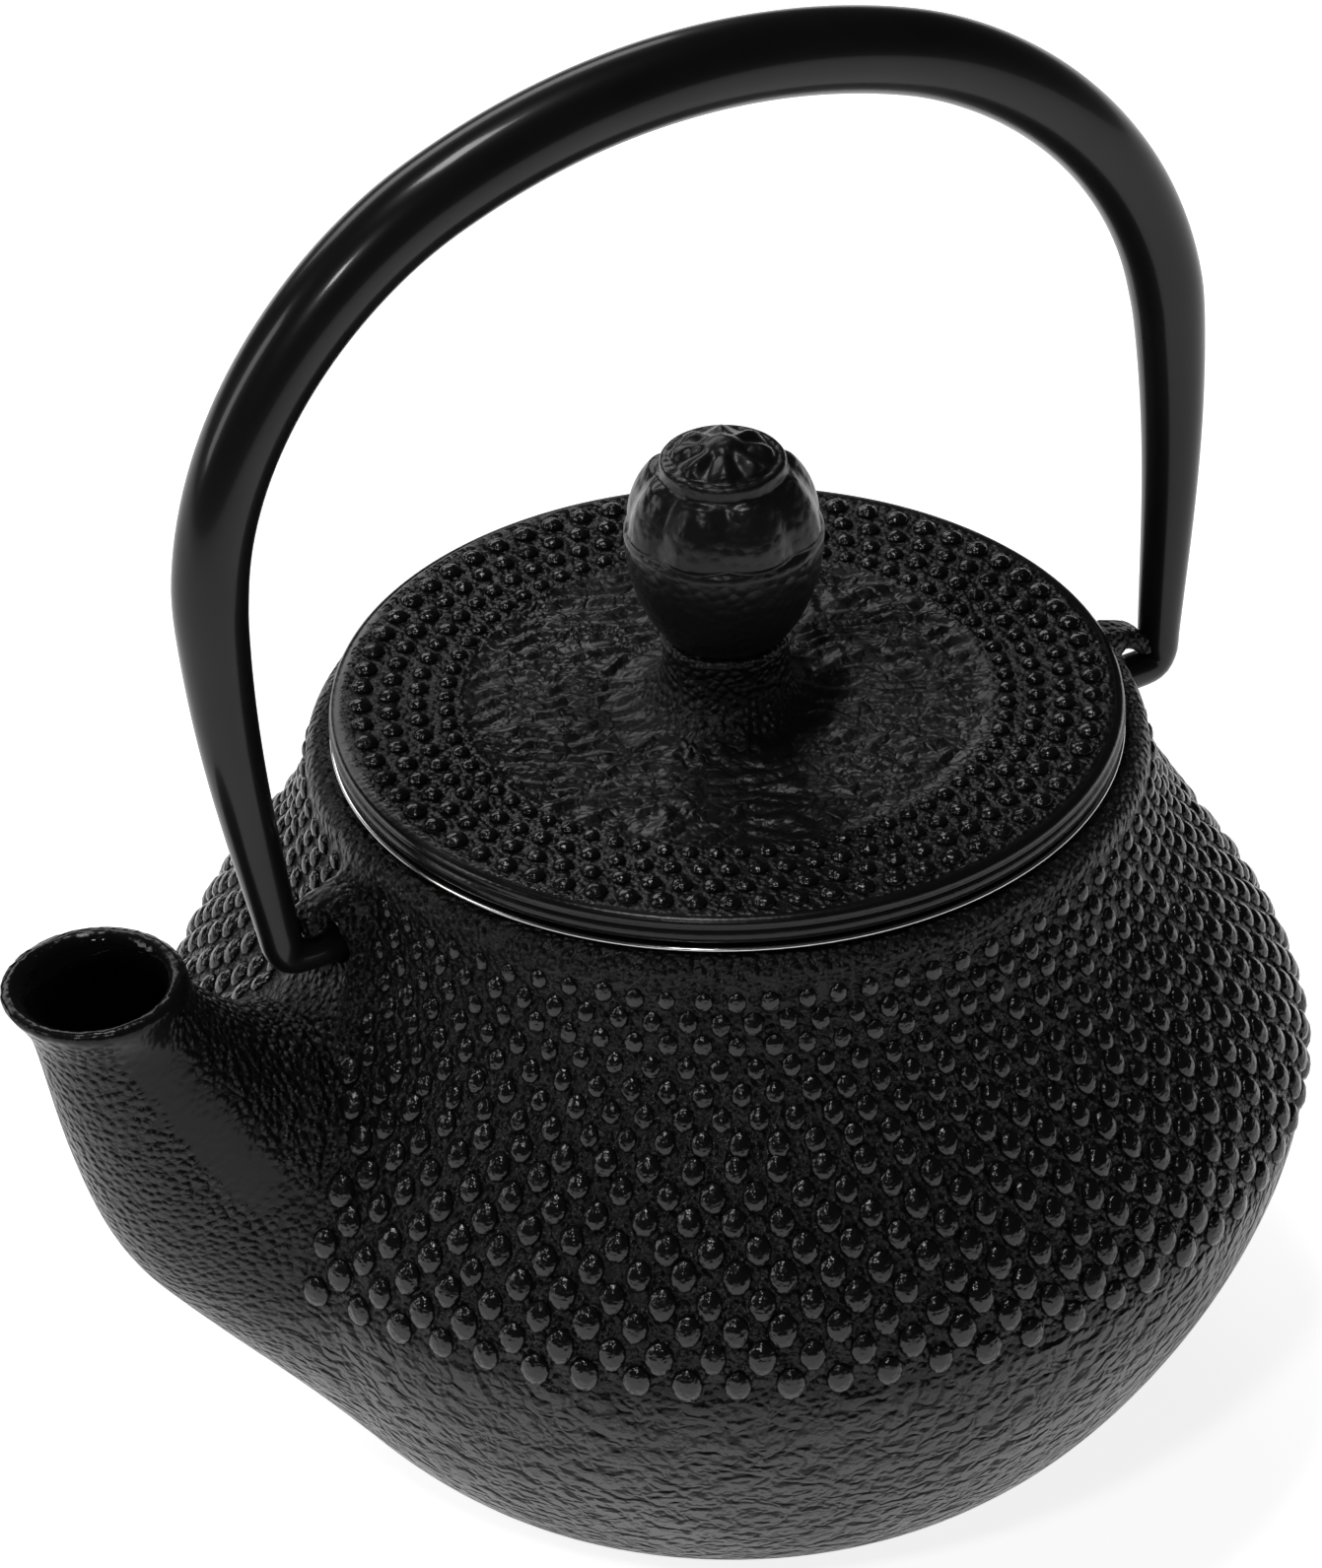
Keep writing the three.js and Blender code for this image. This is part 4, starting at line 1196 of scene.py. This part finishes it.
def make_lid_studs():
    points, sizes = [], []
    for row, radius in enumerate(LID_STUD_RINGS):
        angle = 2 * math.pi * (np.arange(LID_STUDS) + 0.5 * (row % 2)) / LID_STUDS
        points.append(on_circles(radius, angle, LID_TOP))
        sizes.append(np.full(LID_STUDS, LID_STUD_SHARE * 2 * math.pi * radius / LID_STUDS))
    points, sizes = np.concatenate(points), np.concatenate(sizes)
    facing = np.tile((0.0, 0.0, 1.0), (len(points), 1))
    studs = studded("lid_studs", points, facing, sizes, Height_share=0.6, Unevenness=0.05, Seed=5)
    return dress(studs, "lid", None, "cast_iron")


def make_knob():
    """A vase-shaped lower half, eight soft lobes over the widest ring, and a flower on top."""
    lower = bezier(
        (KNOB_SEAT_RADIUS, KNOB_SEAT),
        (KNOB_SEAT_RADIUS + 2.6, KNOB_SEAT + 3),
        (KNOB_RADIUS, KNOB_BELLY - 6),
        (KNOB_RADIUS, KNOB_BELLY),
        26,
    )
    upper = arc((0, KNOB_BELLY), KNOB_RADIUS, 0, 89.5, 64)
    hole_top = KNOB_SEAT + KNOB_HOLE_DEPTH
    hole = [(0, hole_top), (HOLE_RADIUS, hole_top), (HOLE_RADIUS, KNOB_SEAT)]
    foot = [*hole, (KNOB_SEAT_RADIUS - 0.5, KNOB_SEAT)]
    outline = np.concatenate([foot, lower, upper[1:], [[0, KNOB_BELLY + KNOB_RADIUS]]])

    def carved(points):
        out = points - (0, 0, KNOB_BELLY)
        distance = np.linalg.norm(out, axis=1)
        skin = (distance > KNOB_RADIUS - 0.05) & (points[:, 2] > KNOB_BELLY - 0.4)
        tilt = np.degrees(np.arccos(np.clip(out[:, 2] / np.maximum(distance, 1e-6), -1, 1)))
        angle = np.arctan2(points[:, 1], points[:, 0]) + KNOB_TURN
        across = 0.5 + 0.5 * np.cos(PETALS * angle)
        flower = band(tilt, *FLOWER)
        move = 0.75 * across**0.7 * band(tilt, *PILLOWS) - 0.7 * band(tilt, *BELT)
        move += 0.1 * (1 - across) ** 1.5 * flower - 0.3 * across * flower
        move += 0.3 * ridge(tilt, 24, 6.5) * (1 - across)
        move += 0.4 * ridge(tilt, 0, 9.5, 4) + 0.3 * ridge(tilt, 37, 2.4) - 0.25 * ridge(tilt, 32, 2.0)
        points = points.copy()
        points[skin] += (out[skin] / distance[skin, None]) * move[skin, None]
        return points

    knob = turned("ball_knob", outline, 160, carved)
    return dress(knob, "lid", KNOB_IRON, "knob_iron", "knob")


# ---- the infuser ----


def make_infuser_rim():
    inside = COLLAR_RADIUS - SHEET
    bottom = FLANGE_TOP - SHEET
    outline = np.concatenate(
        [
            [(inside, COLLAR_BOTTOM + 0.2), (inside + 0.2, COLLAR_BOTTOM)],
            [(COLLAR_RADIUS - 0.2, COLLAR_BOTTOM), (COLLAR_RADIUS, COLLAR_BOTTOM + 0.2)],
            [(COLLAR_RADIUS, bottom - 0.6)],
            arc((COLLAR_RADIUS + 0.6, bottom - 0.6), 0.6, 180, 90, 5)[1:],
            arc((FLANGE_RADIUS - SHEET / 2, bottom + SHEET / 2), SHEET / 2, -90, 90, 8),
            arc((COLLAR_RADIUS + 0.6, bottom - 0.6), 1.2, 90, 180, 6),
        ]
    )
    rim = turned("infuser_collar", outline, 256)
    return dress(rim, "infuser", RIM_STEEL, "infuser_steel", "infuser_rim")


def perforation_tree():
    """Punches round holes through a flat sheet: one square tile with a hole on each point."""
    nodes, given, end = mesh_tree(
        "perforated_sheet",
        (("Tile", "Object", None), ("Weld", "Float", 0.02 * MM), ("Finish", "Material", None)),
    )
    one = nodes.add("GeometryNodeObjectInfo", {"Object": given["Tile"]}).outputs["Geometry"]
    points = nodes.made("GeometryNodeMeshToPoints", {"Mesh": given["Geometry"]})
    placed = nodes.made("GeometryNodeInstanceOnPoints", {"Points": points, "Instance": one})
    plain = nodes.made("GeometryNodeRealizeInstances", {"Geometry": placed})
    welded = nodes.made("GeometryNodeMergeByDistance", {"Geometry": plain, "Distance": given["Weld"]})
    nodes.feed(nodes.made("GeometryNodeSetMaterial", {"Geometry": welded, "Material": given["Finish"]}), end)
    return nodes.tree


PERFORATION_TREE = perforation_tree()


def tile(pitch_x, pitch_y, radius, thickness):
    """One square of sheet with an eight-sided hole through it, open at its four edges."""
    angle = math.pi / 8 + math.pi / 4 * np.arange(8)
    hole = radius * np.stack([np.cos(angle), np.sin(angle)], 1)
    x, y = pitch_x / 2, pitch_y / 2
    edge = np.array([(x, 0), (x, y), (0, y), (-x, y), (-x, 0), (-x, -y), (0, -y), (x, -y)], float)
    points = [(*p, z) for z in (-thickness / 2, thickness / 2) for p in np.concatenate([hole, edge])]
    faces = []
    for k in range(8):
        n = (k + 1) % 8
        faces.append((16 + k, 16 + 8 + n, 16 + n))
        faces.append((16 + k, 16 + 8 + k, 16 + 8 + n))
        faces.append((k, n, 8 + n))
        faces.append((k, 8 + n, 8 + k))
        faces.append((k, 16 + k, 16 + n, n))
    return plain_mesh("tile", points, faces)


def perforated(name, columns, rows, pitch_x, pitch_y):
    """A flat perforated sheet, columns along X and rows along Y, centred on the origin in X."""
    across = (np.arange(columns) + 0.5) * pitch_x
    up = (np.arange(rows) + 0.5) * pitch_y
    grid = np.stack(np.meshgrid(across, up, indexing="ij"), -1).reshape(-1, 2)
    sheet = plain_mesh(name, [(x, y, 0) for x, y in grid])
    one = tile(pitch_x, pitch_y, PERFORATION_RADIUS, MESH_THICKNESS)
    run_tree(sheet, PERFORATION_TREE, Tile=one, Finish=MESH_STEEL)
    bpy.data.objects.remove(one)
    return sheet


def close_edges(piece):
    """Joins the front of an open sheet to its back all round its edge."""
    work = bmesh.new()
    work.from_mesh(piece.data)
    bmesh.ops.remove_doubles(work, verts=work.verts, dist=0.03 * MM)
    middle = sum(vert.co.z for vert in work.verts) / len(work.verts)
    for upper in (False, True):
        ends = [e for e in work.edges if e.is_boundary and (e.verts[0].co.z > middle) == upper]
        bmesh.ops.bridge_loops(work, edges=ends)
    bmesh.ops.recalc_face_normals(work, faces=work.faces)
    work.to_mesh(piece.data)
    work.free()


def make_infuser_wall():
    """The basket's wall: a perforated sheet rolled into a cylinder."""
    middle = MESH_RADIUS - MESH_THICKNESS / 2
    columns = round(2 * math.pi * middle / PERFORATION_PITCH)
    rows = int((MESH_TOP - MESH_BOTTOM) / PERFORATION_PITCH)
    pitch_y = (MESH_TOP - MESH_BOTTOM) / rows
    pitch_x = 2 * math.pi * middle / columns
    wall = perforated("infuser_basket", columns, rows, pitch_x, pitch_y)
    flat = coordinates(wall)
    angle = -flat[:, 0] / middle
    move_to(wall, on_circles(middle + flat[:, 2], angle, MESH_BOTTOM + flat[:, 1]))
    close_edges(wall)
    return dress(wall, "infuser", MESH_STEEL, "infuser_mesh", "infuser_wall")


# ---- the scene around it ----

CAMERA_PLACE = (-0.5536, -0.9611, 0.8245)
CAMERA_AHEAD = (0.4089, 0.7228, -0.5570)
CAMERA_ROLL = math.radians(-1.21)
CAMERA_SHIFT = 0.0008  # to its own right
CAMERA_LENS = 264.3

FLOOR_GLOW = 0.85
STUDIO_GLOW = 0.03
# Each panel's name, place, size and radiance, in metres.
PANELS = (
    ("behind", (0.1, 1.5, 0.95), (1.4, 0.5), 3.2),
    ("left", (-1.3, 0.5, 0.8), (0.35, 0.9), 5.0),
    ("over", (-0.1, 0.15, 1.5), (0.3, 0.3), 20.0),
    ("front", (-0.75, -0.8, 1.4), (0.16, 0.16), 44.0),
)


def softbox(name, place, size, radiance, target=(0.0, 0.0, 0.08)):
    """A rectangular soft light of an even brightness, turned towards the pot."""
    data = bpy.data.lights.new(name, "AREA")
    data.shape = "RECTANGLE"
    data.size, data.size_y = size
    data.energy = radiance * math.pi * size[0] * size[1]
    light = linked(name, data)
    light.location = place
    light.rotation_euler = (Vector(target) - Vector(place)).to_track_quat("-Z", "Y").to_euler()


def make_surroundings():
    """A bright pale table in a dim studio, with a broad panel behind and smaller ones over it."""
    reach = 6.0
    corners = [(-reach, -reach, 0), (reach, -reach, 0), (reach, reach, 0), (-reach, reach, 0)]
    table = bpy.data.meshes.new("floor")
    table.from_pydata(corners, [], [(0, 1, 2, 3)])
    floor = linked("floor", table)
    floor.location.z = -0.2 * MM
    made, nodes, sockets = new_material("pale floor", Roughness=0.9, Emission_Color=grey(1.0))
    sockets["Emission Strength"].default_value = FLOOR_GLOW
    place = nodes.place()
    nodes.feed(nodes.mixed(nodes.noise(place, 3.0), grey(0.86), grey(0.88)), sockets["Base Color"])
    table.materials.append(made)
    world = bpy.data.worlds.new("studio")
    world.use_nodes = True
    ground = world.node_tree.nodes["Background"].inputs
    ground["Color"].default_value = grey(1.0)
    ground["Strength"].default_value = STUDIO_GLOW
    bpy.context.scene.world = world
    bpy.context.scene.view_settings.view_transform = "Standard"
    for panel in PANELS:
        softbox(*panel)


def make_camera():
    """A long lens that looks down on the pot from the spout's side."""
    ahead = Vector(CAMERA_AHEAD).normalized()
    right = ahead.cross(Vector((0, 0, 1))).normalized()
    up = right.cross(ahead)
    turned_right = right * math.cos(CAMERA_ROLL) + up * math.sin(CAMERA_ROLL)
    turned_up = up * math.cos(CAMERA_ROLL) - right * math.sin(CAMERA_ROLL)
    data = bpy.data.cameras.new("camera")
    data.sensor_width = 36.0
    data.lens = CAMERA_LENS
    data.clip_start, data.clip_end = 0.05, 50.0
    camera = linked("camera", data)
    camera.rotation_euler = Matrix((turned_right, turned_up, -ahead)).transposed().to_euler()
    camera.location = Vector(CAMERA_PLACE) + turned_right * CAMERA_SHIFT
    bpy.context.scene.camera = camera


make_camera()
make_surroundings()
make_pot()
make_pot_studs()
make_handle()
make_lid()
make_lid_studs()
make_knob()
make_infuser_rim()
make_infuser_wall()
for node, material in (
    ("knob_screw", SCREW_STEEL),
    ("knob_washer", SCREW_STEEL),
    ("infuser_foot_ring", RIM_STEEL),
    ("infuser_floor", MESH_STEEL),
):
    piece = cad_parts[node]
    piece.data.materials.clear()
    piece.data.materials.append(material)
